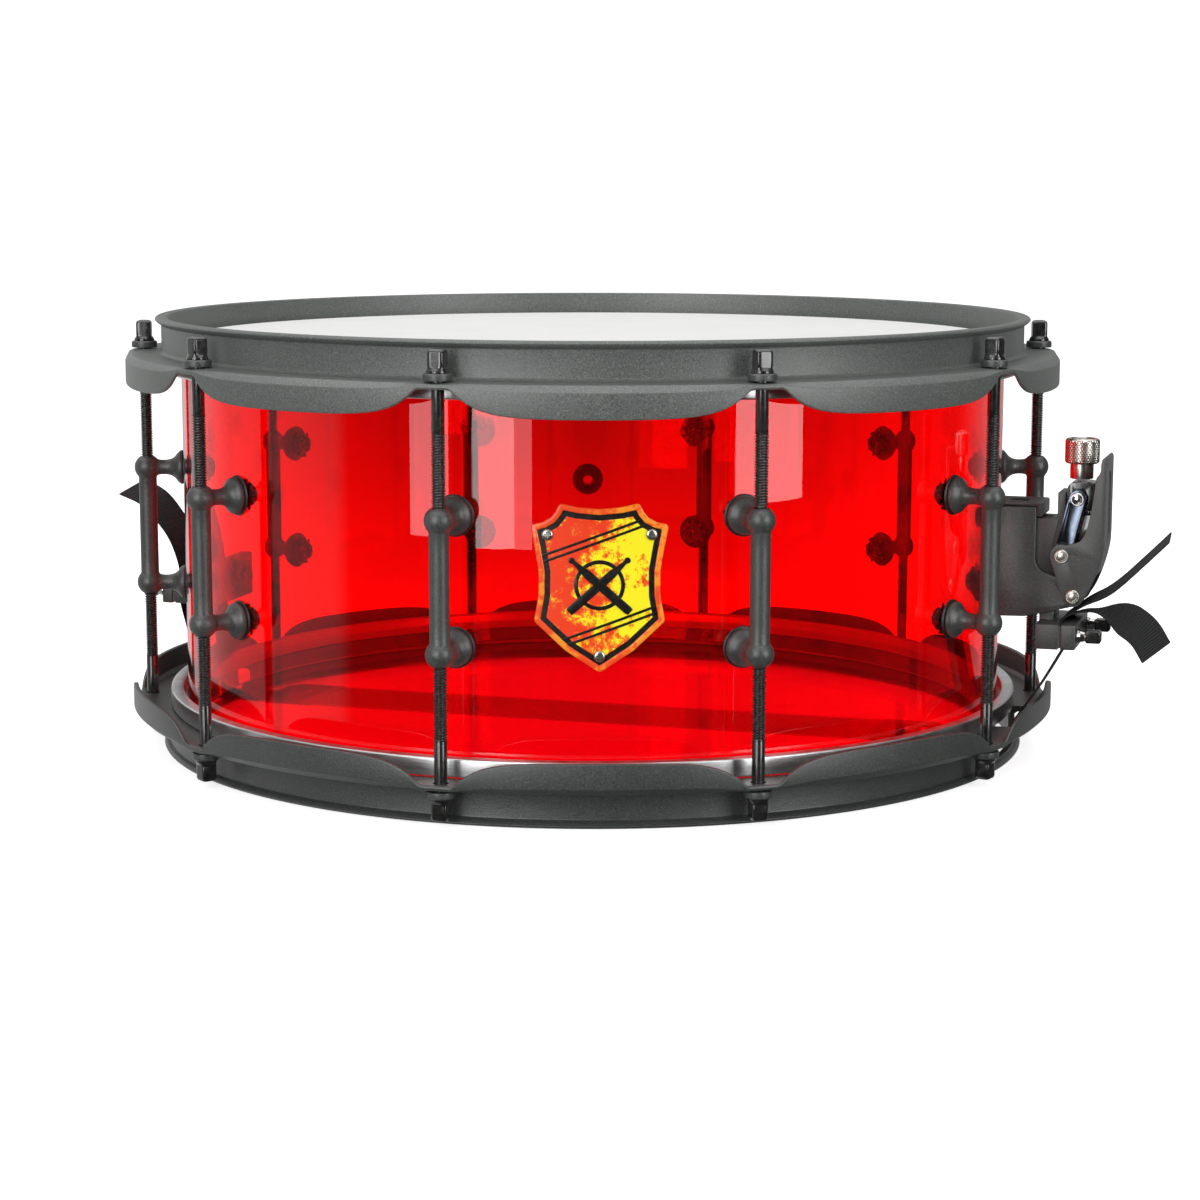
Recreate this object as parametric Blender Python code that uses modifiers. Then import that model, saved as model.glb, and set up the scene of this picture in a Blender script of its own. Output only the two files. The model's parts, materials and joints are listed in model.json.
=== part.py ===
"""A 14 x 6.5 inch snare drum: acrylic shell, tube lugs, pressed hoops, heads, throw-off, butt and snares.

Lengths are in millimetres and become metres through MM. Heights named z are above the shell's
mid-height, and the drum stands with its batter head's playing surface at the scene's origin. Angles are in
degrees round the drum, from the front (-Y) towards +X. A bracket on the shell is drawn in its own frame:
x is the distance from the drum's axis, y runs along the shell's circle, and z is up.
"""

from math import cos, exp, pi, radians, sin, tan

import bmesh
import bpy
from mathutils import Matrix, Vector

MM = 0.001

# Shell and heads
SHELL_R = 177.8
SHELL_WALL = 6.0
SHELL_HALF = 82.55
BEARING_DROP = 2.2
FILM = 0.3
GAP = 0.3
ROUND_STEPS = 60
MID_Z = -(SHELL_HALF + GAP + FILM)
FILM_TOP = SHELL_HALF + GAP + FILM
COLLAR_R = SHELL_R + 1.2
COLLAR_DEPTH = 12.0
FLESH_IN = 179.8
FLESH_OUT = 185.2
FLESH_TOP = 74.8
BATTER_FLESH_LOW = 69.8
RESONANT_FLESH_LOW = 67.4

# Hoops
HOOP_WALL_OUT = 185.9
HOOP_WALL_IN = 183.3
HOOP_TOP = 92.4
LIP_R = 188.7
SKIRT_R = 201.3
PLATE = 2.3
EAR_Z = 77.1
CREASE_Z = 77.5
SCALLOP_DEPTH = 12.8
EAR_HALF_WIDTH = 6.3
SCALLOP_FALL = 9.0
GATE_WIDTH = 46.0
GATE_OUT = 192.0
GATE_LOW = 72.0
GATE_HIGH = 89.2

# Lugs and tension rods
LUG_COUNT = 10
FIRST_LUG = 18.0
LUG_STEP = 36.0
LUG_R = 195.0
LUG_HALF = 25.4
TUBE_R = 3.9
TUBE_BORE_R = 3.0
BALL_R = 5.65
NECK_R = 2.6
FLANGE_R = 7.4
FLANGE_X = SHELL_R + 1.2
LUG_SCREW_HOLE_R = 2.6
ROD_R = 2.5
WASHER_R = 5.5
WASHER_LOW = 77.8
WASHER_HIGH = 81.0
KEY_HALF = 3.175
KEY_LOW = 82.6
KEY_TOP = 89.6
EAR_HOLE_R = 3.1

# Where a square's corners are cut, as a share of its half width: round sections and key heads
ROUND_CORNER = tan(pi / 8)
KEY_CORNER = 0.75

# Throw-off, at its angle on the shell
STRAINER_ANGLE = 72.0
STRAINER_SCREWS = (-22.0, 10.0)
BODY_BACK = 178.4
BODY_FRONT = 196.4
BODY_TOP = 16.2
BODY_BOTTOM = -30.5
BODY_HALF = 10.6
CHANNEL_HALF = 8.8
CHANNEL_BACK = 181.0
PIVOT = (212.7, -20.5)
LINK_LOW = (207.6, -3.8)
LINK_TOP = (213.3, 20.0)
LEVER_HALF = 12.6
LEVER_INSIDE = 11.0
LEVER_SPINE = 221.8
PIN_R = 1.85
PIN_HOLE_R = 2.2
PIN_HEAD_R = 2.9
PIVOT_PIN_HALF = 14.0
LINK_PIN_HALF = 11.8
LINK_WIDTH = 7.6
LINK_OUT = 10.5
LINK_IN = 8.5
YOKE_HALF = 7.6
KNOB_X = 213.4
KNOB_R = 7.25
KNOB_LOW = 34.0
KNOB_HIGH = 44.4
KNOB_NECK_R = 4.85
KNOB_NECK_LOW = 27.6
CLAMP_HALF = 20.0
CLAMP_IN = 198.4
CLAMP_SPLIT = 207.6
CLAMP_OUT = 215.2
CLAMP_HIGH = -31.5
CLAMP_LOW = -42.0
CLAMP_SCREW_Y = 15.6
CLAMP_SCREW_Z = -36.4
CLAMP_SCREW_R = 1.8
CLAMP_HOLE_R = 2.3

# Butt plate, opposite the throw-off
BUTT_ANGLE = STRAINER_ANGLE - 180.0
BUTT_SCREWS = (-31.0,)
BUTT_FRONT = 193.2
BUTT_FOOT_HIGH = -22.0
BUTT_HIGH = -31.0
BUTT_LOW = -41.5
BUTT_PLATE_OUT = 199.6
BUTT_SCREW_Z = -36.2

# Snare wires and straps
WIRE_COUNT = 20
WIRE_PITCH = 2.1
WIRE_R = 0.75
WIRE_HALF_LENGTH = 128.0
END_PLATE = 27.0
END_PLATE_HALF_WIDTH = 21.5
SNARE_Z = -(FILM_TOP + 0.35 + WIRE_R)
STRAP_HALF_WIDTH = 12.0
STRAP = 1.1

# Badge and vent
VENT_ANGLE = 180.0
BADGE_OUT = SHELL_R + 1.4
BADGE_IN = SHELL_R + 0.4
BADGE_REACH = 36.0
VENT_R = 7.8
VENT_HOLE_R = 2.5
VENT_TUBE_R = 4.7

LUG_ANGLES = [FIRST_LUG + LUG_STEP * i for i in range(LUG_COUNT)]


# Scene and materials


def clear_scene():
    for obj in list(bpy.data.objects):
        bpy.data.objects.remove(obj, do_unlink=True)


def collection(name, hidden=False):
    made = bpy.data.collections.new(name)
    bpy.context.scene.collection.children.link(made)
    made.hide_render = hidden
    return made


def material(name, colour, roughness, metallic=0.0, transmission=0.0):
    made = bpy.data.materials.new(name)
    made.use_nodes = True
    shader = made.node_tree.nodes["Principled BSDF"]
    shader.inputs["Base Color"].default_value = (*colour, 1.0)
    shader.inputs["Roughness"].default_value = roughness
    shader.inputs["Metallic"].default_value = metallic
    shader.inputs["Transmission Weight"].default_value = transmission
    made.diffuse_color = (*colour, 1.0)
    return made


clear_scene()
PARTS = collection("snare_drum")
CUTTERS = collection("cutters", hidden=True)

ACRYLIC = material("red_acrylic", (0.85, 0.0, 0.01), 0.05, transmission=0.9)
COATED = material("coated_film", (0.8, 0.8, 0.78), 0.6)
CLEAR_FILM = material("clear_film", (0.85, 0.85, 0.85), 0.15, transmission=0.8)
ALUMINIUM = material("aluminium", (0.75, 0.76, 0.77), 0.3, metallic=1.0)
POWDER = material("powder_coat", (0.09, 0.095, 0.09), 0.5, metallic=0.3)
BLACK_STEEL = material("black_steel", (0.03, 0.03, 0.03), 0.2, metallic=0.8)
CHROME = material("chrome", (0.8, 0.8, 0.78), 0.12, metallic=1.0)
RIBBON = material("black_ribbon", (0.02, 0.02, 0.02), 0.8)
ENAMEL = material("badge_enamel", (0.85, 0.18, 0.02), 0.3)


# Shapes


def ring_frame(angle, x=0.0, y=0.0, z=0.0):
    """The matrix of a point in the bracket frame at this angle round the shell."""
    turn = Matrix.Rotation(radians(angle - 90.0), 4, "Z")
    return Matrix.Translation((0, 0, MID_Z * MM)) @ turn @ Matrix.Translation(Vector((x, y, z)) * MM)


def add(name, mesh, slot, place=None):
    """A visible piece; without a place it sits on the drum's axis at the shell's mid-height."""
    obj = bpy.data.objects.new(name, mesh)
    PARTS.objects.link(obj)
    obj.matrix_world = place if place is not None else Matrix.Translation((0, 0, MID_Z * MM))
    if slot and not mesh.materials:
        mesh.materials.append(slot)
    return obj


def helper(mesh, place=None):
    """A cutter, or a shape that is joined to a piece."""
    obj = add("tool_" + mesh.name, mesh, None, place)
    PARTS.objects.unlink(obj)
    CUTTERS.objects.link(obj)
    obj.hide_render = True
    obj.display_type = "WIRE"
    return obj


def boolean(obj, other, operation="DIFFERENCE"):
    modifier = obj.modifiers.new(operation.lower(), "BOOLEAN")
    modifier.object = other
    modifier.operation = operation
    modifier.solver = "EXACT"


def smooth(mesh, angle=35.0):
    mesh.shade_smooth()
    mesh.set_sharp_from_angle(angle=radians(angle))


def turned_mesh(name, points, steps, closed=False, axis="Z"):
    """A profile of (radius, height) down its outer side, turned round the axis by a Screw modifier."""
    mesh = bpy.data.meshes.new(name)
    edges = [(i, i + 1) for i in range(len(points) - 1)]
    if closed:
        edges.append((len(points) - 1, 0))
    mesh.from_pydata([(r * MM, 0.0, z * MM) for r, z in points], edges, [])
    turned = bpy.data.objects.new(name, mesh)
    PARTS.objects.link(turned)
    screw = turned.modifiers.new("turn", "SCREW")
    screw.steps = steps
    screw.render_steps = steps
    screw.use_merge_vertices = True
    screw.merge_threshold = 0.0000001
    bpy.context.view_layer.update()
    graph = bpy.context.evaluated_depsgraph_get()
    solid = bpy.data.meshes.new_from_object(turned.evaluated_get(graph))
    bpy.data.objects.remove(turned)
    solid.name = name
    if axis == "X":
        solid.transform(Matrix.Rotation(radians(90.0), 4, "Y"))
    if axis == "Y":
        solid.transform(Matrix.Rotation(radians(-90.0), 4, "X"))
    smooth(solid)
    return solid


def box_mesh(name, low, high, bevel=0.0):
    """A box between two corners, with its edges rounded off by one chamfer where bevel is given."""
    centre = (Vector(low) + Vector(high)) * 0.5 * MM
    size = (Vector(high) - Vector(low)) * MM
    form = bmesh.new()
    bmesh.ops.create_cube(form, size=1.0)
    place = Matrix.Translation(centre) @ Matrix.Diagonal((*size, 1.0))
    bmesh.ops.transform(form, matrix=place, verts=form.verts)
    if bevel:
        bmesh.ops.bevel(form, geom=form.edges[:], offset=bevel * MM, segments=1, affect="EDGES")
    mesh = bpy.data.meshes.new(name)
    form.to_mesh(mesh)
    form.free()
    return mesh


def rods_mesh(name, places, radius, length, sides):
    """Separate round bars, each centred on a matrix and lying along its Z."""
    form = bmesh.new()
    for place in places:
        bmesh.ops.create_cone(
            form,
            cap_ends=True,
            segments=sides,
            radius1=radius * MM,
            radius2=radius * MM,
            depth=length * MM,
            matrix=place,
        )
    mesh = bpy.data.meshes.new(name)
    form.to_mesh(mesh)
    form.free()
    return mesh


def plate_mesh(name, outline, half_width):
    """An outline of (x, z) points, filled and extruded both ways along y."""
    curve = bpy.data.curves.new(name, "CURVE")
    curve.dimensions = "2D"
    curve.fill_mode = "BOTH"
    curve.extrude = half_width * MM
    line = curve.splines.new("POLY")
    line.points.add(len(outline) - 1)
    for point, (x, z) in zip(line.points, outline):
        point.co = (x * MM, z * MM, 0.0, 1.0)
    line.use_cyclic_u = True
    drawn = bpy.data.objects.new(name, curve)
    PARTS.objects.link(drawn)
    bpy.context.view_layer.update()
    graph = bpy.context.evaluated_depsgraph_get()
    mesh = bpy.data.meshes.new_from_object(drawn.evaluated_get(graph))
    bpy.data.objects.remove(drawn)
    form = bmesh.new()
    form.from_mesh(mesh)
    bmesh.ops.remove_doubles(form, verts=form.verts, dist=0.000001)
    bmesh.ops.transform(form, matrix=Matrix.Rotation(radians(90.0), 4, "X"), verts=form.verts)
    bmesh.ops.recalc_face_normals(form, faces=form.faces)
    form.to_mesh(mesh)
    form.free()
    mesh.name = name
    return mesh


def arc(centre, radius, start, end, steps):
    """Points on a circle from one angle to another, both ends included."""
    turn = (end - start) / steps
    angles = [radians(start + turn * i) for i in range(steps + 1)]
    return [(centre[0] + radius * cos(a), centre[1] + radius * sin(a)) for a in angles]


def lofted_mesh(name, rings, closed=False):
    """Rings of equally many points joined in order: a closed round, or a column with capped ends."""
    form = bmesh.new()
    rows = [[form.verts.new(Vector(point) * MM) for point in ring] for ring in rings]
    count = len(rows)
    for i in range(count if closed else count - 1):
        first, second = rows[i], rows[(i + 1) % count]
        for j in range(len(first)):
            k = (j + 1) % len(first)
            form.faces.new((first[j], first[k], second[k], second[j]))
    if not closed:
        form.faces.new(rows[0])
        form.faces.new(rows[-1])
    bmesh.ops.recalc_face_normals(form, faces=form.faces)
    mesh = bpy.data.meshes.new(name)
    form.to_mesh(mesh)
    form.free()
    return mesh


# Shell


def radial_places(angles, heights, x):
    """Matrices at points of the shell, with Z pointing out along the radius."""
    out = Matrix.Rotation(radians(90.0), 4, "Y")
    return [ring_frame(angle, x, 0.0, z) @ out for angle in angles for z in heights]


def make_shell():
    inner = SHELL_R - SHELL_WALL
    crown = SHELL_R - 1.6
    half = [(SHELL_R, SHELL_HALF - 1.2), (crown, SHELL_HALF), (inner, SHELL_HALF - BEARING_DROP)]
    section = [half[1], half[0]]
    section += [(SHELL_R, -half[0][1]), (crown, -SHELL_HALF)]
    section += [(inner, -half[2][1]), half[2]]
    shell = add("shell", turned_mesh("shell", section, ROUND_STEPS, closed=True), ACRYLIC)
    middle = SHELL_R - SHELL_WALL / 2
    holes = radial_places(LUG_ANGLES, (-LUG_HALF, LUG_HALF), middle)
    holes += radial_places([STRAINER_ANGLE], STRAINER_SCREWS, middle)
    holes += radial_places([BUTT_ANGLE], BUTT_SCREWS, middle)
    through = SHELL_WALL * 2
    boolean(shell, helper(rods_mesh("screw_holes", holes, LUG_SCREW_HOLE_R, through, 8), Matrix()))
    vent = radial_places([VENT_ANGLE], (0.0,), middle)
    boolean(shell, helper(rods_mesh("vent_hole", vent, VENT_TUBE_R + 0.5, through, 12), Matrix()))


def make_vent():
    hole, tube, flange = VENT_HOLE_R, VENT_TUBE_R, VENT_R
    outer, inner = SHELL_R + GAP, SHELL_R - SHELL_WALL - 0.5
    rolled = flange - 1.0
    section = [(hole, outer + 2.4), (flange - 1.4, outer + 2.4), (flange, outer + 1.0), (flange, outer)]
    section += [(tube, outer), (tube, inner), (rolled, inner), (rolled, inner - 1.6), (hole, inner - 1.6)]
    mesh = turned_mesh("vent_grommet", section, 12, closed=True, axis="X")
    add("vent_grommet", mesh, BLACK_STEEL, ring_frame(VENT_ANGLE))


# Heads


def make_head(name, side, slot):
    """A film over the bearing edge with its collar outside; side is 1 at the top and -1 at the bottom."""
    bend = SHELL_R - 0.8
    foot = FILM_TOP - COLLAR_DEPTH
    skin = [(0.0, FILM_TOP), (bend, FILM_TOP), (COLLAR_R, FILM_TOP - 2.0), (COLLAR_R, foot)]
    skin += [(COLLAR_R - 0.5, foot), (COLLAR_R - 0.5, FILM_TOP - 2.0)]
    skin += [(bend - 0.4, FILM_TOP - FILM), (0.0, FILM_TOP - FILM)]
    head = add(name, turned_mesh(name, skin, ROUND_STEPS), slot)
    if side < 0:
        head.rotation_euler.x = pi


def make_flesh_hoop(name, low, side):
    section = [(FLESH_IN, FLESH_TOP), (FLESH_OUT, FLESH_TOP), (FLESH_OUT, low), (FLESH_IN, low)]
    hoop = add(name, turned_mesh(name, section, ROUND_STEPS, closed=True), ALUMINIUM)
    if side < 0:
        hoop.rotation_euler.x = pi


# Hoops


def hoop_section(fall):
    """The hoop's closed section; fall is 0 across a rod's ear and nears 1 where the skirt is deepest."""
    low = EAR_Z - SCALLOP_DEPTH
    inner_skirt = SKIRT_R - PLATE
    ear_low = EAR_Z - PLATE
    wall = [(HOOP_WALL_IN, HOOP_TOP), (LIP_R - 0.9, HOOP_TOP), (LIP_R, HOOP_TOP - 1.0)]
    wall += [(LIP_R - 1.3, HOOP_TOP - 2.2), (HOOP_WALL_OUT, HOOP_TOP - 3.0)]
    wall += [(HOOP_WALL_OUT, CREASE_Z + 1.0), (HOOP_WALL_OUT + 1.4, CREASE_Z)]
    ear = [(198.6, EAR_Z), (SKIRT_R - 0.4, EAR_Z - 0.3), (SKIRT_R, ear_low + 0.8)]
    ear += [(SKIRT_R - 0.6, ear_low), (inner_skirt, ear_low), (197.4, ear_low)]
    deep = [(198.4, EAR_Z - 0.1), (SKIRT_R, EAR_Z - 2.8), (SKIRT_R, low)]
    deep += [(inner_skirt, low), (inner_skirt, ear_low - 1.4), (197.4, ear_low)]
    edge = [
        (a[0] + fall * (b[0] - a[0]), a[1] + fall * (b[1] - a[1]))
        for a, b in zip(ear, deep)
    ]
    root = [(HOOP_WALL_IN + 0.8, CREASE_Z - PLATE), (HOOP_WALL_IN, CREASE_Z - PLATE + 0.9)]
    return wall + edge + root


def hoop_stations():
    """(angle, fall) round the hoop: closer together where the scallop runs down from an ear."""
    reach = radians(LUG_STEP / 2) * SKIRT_R
    offsets = [EAR_HALF_WIDTH, 11.0, 19.0, 36.0]
    arcs = [-s for s in reversed(offsets)] + offsets + [reach]
    stations = []
    for angle in LUG_ANGLES:
        for s in arcs:
            fall = 1.0 - exp(-(abs(s) - EAR_HALF_WIDTH) / SCALLOP_FALL)
            stations.append((radians(angle) + s / SKIRT_R, fall))
    return stations


def make_hoop(name, side):
    rings = []
    for angle, fall in hoop_stations():
        rings.append([(r * sin(angle), -r * cos(angle), z * side) for r, z in hoop_section(fall)])
    mesh = lofted_mesh(name, rings, closed=True)
    smooth(mesh, 40.0)
    hoop = add(name, mesh, POWDER)
    ears = [ring_frame(angle, LUG_R, 0.0, side * EAR_Z) for angle in LUG_ANGLES]
    boolean(hoop, helper(rods_mesh(name + "_ear_holes", ears, EAR_HOLE_R, 8.0, 8), Matrix()))
    return hoop


def cut_snare_gates(hoop):
    """Windows in the bottom hoop's wall that let the snare straps out, up behind the skirt."""
    low = (HOOP_WALL_IN - 6.0, -GATE_WIDTH / 2, -GATE_HIGH)
    high = (GATE_OUT, GATE_WIDTH / 2, -GATE_LOW)
    for angle in (STRAINER_ANGLE, BUTT_ANGLE):
        boolean(hoop, helper(box_mesh("snare_gate", low, high), ring_frame(angle)))


# Lugs and tension rods


def lug_mesh():
    """A tube with a ball at each post; the posts flare to flanges that face the shell."""
    side = [(TUBE_BORE_R, LUG_HALF + 4.8)]
    side += [(BALL_R * cos(a), LUG_HALF + BALL_R * sin(a)) for a in (0.8, 0.0, -0.8)]
    half = side + [(TUBE_R, LUG_HALF - 5.0)]
    section = half + [(r, -z) for r, z in reversed(half)]
    lug = bpy.data.objects.new("lug_body", turned_mesh("lug_body", section, 8, closed=True))
    PARTS.objects.link(lug)
    reach = LUG_R - FLANGE_X
    post = [(0.0, -TUBE_BORE_R - 0.9), (NECK_R + 0.6, -TUBE_BORE_R - 0.9), (NECK_R, -8.0)]
    post += [(4.4, 2.2 - reach), (FLANGE_R, 0.9 - reach), (FLANGE_R, -reach), (0.0, -reach)]
    mesh = turned_mesh("lug_post", post, 8, axis="X")
    for z in (-LUG_HALF, LUG_HALF):
        boolean(lug, helper(mesh, Matrix.Translation((0, 0, z * MM))), "UNION")
    bpy.context.view_layer.update()
    graph = bpy.context.evaluated_depsgraph_get()
    joined = bpy.data.meshes.new_from_object(lug.evaluated_get(graph))
    bpy.data.objects.remove(lug)
    joined.name = "lug"
    joined.materials.clear()
    smooth(joined, 40.0)
    return joined


def eight_sided(half, corner):
    """Eight points round a square of this half width; corner is how far along a side its corner is cut."""
    cut = half * corner
    quarter = [(half, cut), (cut, half)]
    left = [(-y, x) for x, y in quarter]
    return quarter + left + [(-x, -y) for x, y in quarter + left]


def rod_mesh():
    """A tension rod with its washer under a square key head: round sections below, square ones above."""
    rings = []
    for radius, z in (
        (ROD_R - 0.6, LUG_HALF),
        (ROD_R, LUG_HALF + 1.2),
        (ROD_R, WASHER_LOW),
        (WASHER_R, WASHER_LOW),
        (WASHER_R, WASHER_HIGH),
        (KEY_HALF * 1.2, KEY_LOW - 0.8),
    ):
        rings.append([(x, y, z) for x, y in eight_sided(radius * cos(pi / 8), ROUND_CORNER)])
    for half, z in ((KEY_HALF, KEY_LOW), (KEY_HALF, KEY_TOP - 1.2), (KEY_HALF * 0.7, KEY_TOP)):
        rings.append([(x, y, z) for x, y in eight_sided(half, KEY_CORNER)])
    mesh = lofted_mesh("tension_rod", rings)
    smooth(mesh, 30.0)
    return mesh


def make_lugs_and_rods():
    lug = lug_mesh()
    rod = rod_mesh()
    half_turn = Matrix.Rotation(pi, 4, "X")
    for i, angle in enumerate(LUG_ANGLES):
        place = ring_frame(angle, LUG_R)
        add(f"lug_{i + 1:02d}", lug, POWDER, place)
        add(f"top_tension_rod_{i + 1:02d}", rod, BLACK_STEEL, place)
        add(f"bottom_tension_rod_{i + 1:02d}", rod, BLACK_STEEL, place @ half_turn)


# Throw-off


def offset_points(points, origin):
    return [(x - origin[0], z - origin[1]) for x, z in points]


def hole_along_y(obj, angle, at, radius, sides=10):
    """Cuts a round hole along y through both side plates of a piece."""
    place = ring_frame(angle, at[0], 0.0, at[1]) @ Matrix.Rotation(pi / 2, 4, "X")
    boolean(obj, helper(rods_mesh("pin_hole", [place], radius, 60.0, sides), Matrix()))


def make_strainer_body():
    outline = [(BODY_BACK, BODY_TOP), (BODY_BACK, BODY_BOTTOM), (PIVOT[0] - 3.0, PIVOT[1] - 5.4)]
    outline += arc(PIVOT, 4.6, -90.0, 80.0, 5) + [(206.0, -12.6)]
    outline += arc((BODY_FRONT + 6.5, -5.2), 6.5, 270.0, 180.0, 3) + [(BODY_FRONT, BODY_TOP)]
    mesh = plate_mesh("strainer_body", outline, BODY_HALF)
    place = ring_frame(STRAINER_ANGLE)
    body = add("strainer_body", mesh, POWDER, place)
    low = (CHANNEL_BACK, -CHANNEL_HALF, BODY_BOTTOM - 10.0)
    high = (PIVOT[0] + 10.0, CHANNEL_HALF, BODY_TOP + 10.0)
    boolean(body, helper(box_mesh("body_channel", low, high), place))
    hole_along_y(body, STRAINER_ANGLE, PIVOT, PIN_R + GAP)


def make_strainer_bracket():
    """The hooked plate over the body, which stops the slider at the top."""
    top, low, hook = BODY_TOP + 1.8, BODY_TOP + 0.4, 12.0
    inner, outer = BODY_FRONT + GAP, BODY_FRONT + 2.6
    outline = [(BODY_BACK, top), (BODY_BACK, low), (inner, low), (inner, hook), (outer, hook)]
    outline += [(outer, top - 1.2), (outer - 1.2, top)]
    mesh = plate_mesh("strainer_bracket", outline, BODY_HALF)
    add("strainer_bracket", mesh, POWDER, ring_frame(STRAINER_ANGLE))


def make_slider():
    """The carriage: a block in the channel, a plate for the adjuster, and the clamp's inner jaw below."""
    origin = (190.0, CLAMP_SCREW_Z)
    half = CHANNEL_HALF - 0.4
    split = CLAMP_SPLIT - GAP
    outline = [(184.0, 11.4), (184.0, -29.0), (CLAMP_IN, -29.0), (CLAMP_IN, CLAMP_LOW), (split, CLAMP_LOW)]
    outline += [(split, CLAMP_HIGH), (204.5, CLAMP_HIGH), (204.5, -27.0), (200.0, -25.0), (200.0, -14.0)]
    outline += [(204.9, -12.0), (204.9, -3.0), (208.2, -1.6), (208.2, 22.4), (204.9, 22.4)]
    outline += [(204.9, 11.4)]
    mesh = plate_mesh("strainer_slider", offset_points(outline, origin), half)
    place = ring_frame(STRAINER_ANGLE, origin[0], 0.0, origin[1])
    slider = add("strainer_slider", mesh, POWDER, place)
    low = (CLAMP_IN, -CLAMP_HALF, CLAMP_LOW)
    high = (split, CLAMP_HALF, CLAMP_HIGH)
    boolean(slider, helper(box_mesh("inner_jaw", low, high, 0.8), ring_frame(STRAINER_ANGLE)), "UNION")
    plate_span = (CLAMP_SPLIT + STRAP + 2 * GAP, CLAMP_OUT)
    make_clamp("strainer", STRAINER_ANGLE, plate_span, (CLAMP_LOW, CLAMP_HIGH), CLAMP_SCREW_Z, slider)


def make_yoke():
    """The block that the link hangs from, drilled for the knob's screw."""
    low, high = (-4.6, -YOKE_HALF, -5.4), (6.4, YOKE_HALF, 7.2)
    yoke = add(
        "adjuster_yoke",
        box_mesh("adjuster_yoke", low, high, 1.0),
        POWDER,
        ring_frame(STRAINER_ANGLE, LINK_TOP[0], 0.0, LINK_TOP[1]),
    )
    bore = [ring_frame(STRAINER_ANGLE, KNOB_X, 0.0, LINK_TOP[1] + 9.0)]
    boolean(yoke, helper(rods_mesh("adjuster_bore", bore, 2.1, 12.0, 10), Matrix()))
    hole_along_y(yoke, STRAINER_ANGLE, LINK_TOP, PIN_R + GAP)


def make_knob():
    """The adjuster knob with its neck, turning on a vertical axis."""
    stem = KNOB_NECK_LOW
    rim = KNOB_R - 0.8
    section = [(0.0, KNOB_HIGH), (rim, KNOB_HIGH), (KNOB_R, KNOB_HIGH - 0.8), (KNOB_R, KNOB_LOW + 0.8)]
    section += [(rim, KNOB_LOW), (KNOB_NECK_R, KNOB_LOW), (KNOB_NECK_R, stem), (0.0, stem)]
    mesh = turned_mesh("tension_knob", [(r, z - stem) for r, z in section], 16)
    add("tension_knob", mesh, CHROME, ring_frame(STRAINER_ANGLE, KNOB_X, 0.0, stem))


def make_lever():
    """The throw lever: a folded channel, pivoted at its foot, with an eye where the link is pinned."""
    outline = arc(PIVOT, 4.4, 200.0, 330.0, 4) + [(221.0, -14.0), (224.0, -4.0), (225.0, 4.4)]
    outline += [(225.0, 36.6), (223.8, 37.6), (222.7, 35.0), (222.8, 31.6), (220.8, 29.2)]
    outline += [(219.2, 16.0), (216.6, 4.6), (213.4, 1.8)] + arc(LINK_LOW, 4.9, 60.0, 205.0, 4)
    lever = add(
        "throw_lever",
        plate_mesh("throw_lever", offset_points(outline, PIVOT), LEVER_HALF),
        POWDER,
        ring_frame(STRAINER_ANGLE, PIVOT[0], 0.0, PIVOT[1]),
    )
    low, high = (190.0, -LEVER_INSIDE, -60.0), (LEVER_SPINE, LEVER_INSIDE, 60.0)
    boolean(lever, helper(box_mesh("lever_channel", low, high), ring_frame(STRAINER_ANGLE)))
    hole_along_y(lever, STRAINER_ANGLE, PIVOT, PIN_HOLE_R)


def make_link():
    """Two side plates joined by a web; it hangs from the yoke and meets the lever at its lower eye."""
    run = Vector(LINK_LOW) - Vector(LINK_TOP)
    length = run.length
    along = run / length
    lean = Matrix.Rotation(-along.angle_signed(Vector((0.0, -1.0))), 4, "Y")
    half = LINK_WIDTH / 2
    outline = arc((0.0, 0.0), half, 0.0, 180.0, 6) + arc((0.0, -length), half, 180.0, 360.0, 6)
    place = ring_frame(STRAINER_ANGLE, LINK_TOP[0], 0.0, LINK_TOP[1]) @ lean
    link = add("strainer_link", plate_mesh("strainer_link", outline, LINK_OUT), CHROME, place)
    low, high = (-10.0, -LINK_IN, -length - 10.0), (10.0, LINK_IN, 10.0)
    channel = helper(box_mesh("link_channel", low, high), place)
    web = box_mesh("link_web", (1.4, -LINK_IN - 0.5, 4.5 - length), (half, LINK_IN + 0.5, 9.0 - length))
    boolean(link, channel)
    boolean(link, helper(web, place), "UNION")
    hole_along_y(link, STRAINER_ANGLE, LINK_TOP, PIN_HOLE_R)


def make_pin(name, at, half_length, head):
    """A pin along y with a flat head at each end."""
    section = [(0.0, half_length), (PIN_HEAD_R, half_length), (PIN_HEAD_R, half_length - head)]
    section += [(PIN_R, half_length - head)]
    section += [(r, -z) for r, z in reversed(section)]
    mesh = turned_mesh(name, section, 10, axis="Y")
    add(name, mesh, CHROME, ring_frame(STRAINER_ANGLE, at[0], 0.0, at[1]))


def key_screw_mesh(name, back):
    """A square-headed clamp screw along x, from back to its head; its collar bears on the face at x = 0."""
    rings = []
    for half, x, corner in (
        (CLAMP_SCREW_R, back, ROUND_CORNER),
        (CLAMP_SCREW_R, GAP, ROUND_CORNER),
        (2.9, GAP, ROUND_CORNER),
        (2.5, 3.6, ROUND_CORNER),
        (2.7, 3.8, KEY_CORNER),
        (2.7, 10.2, KEY_CORNER),
    ):
        rings.append([(x, y, z) for y, z in eight_sided(half, corner)])
    mesh = lofted_mesh(name, rings)
    smooth(mesh, 30.0)
    return mesh


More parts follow.
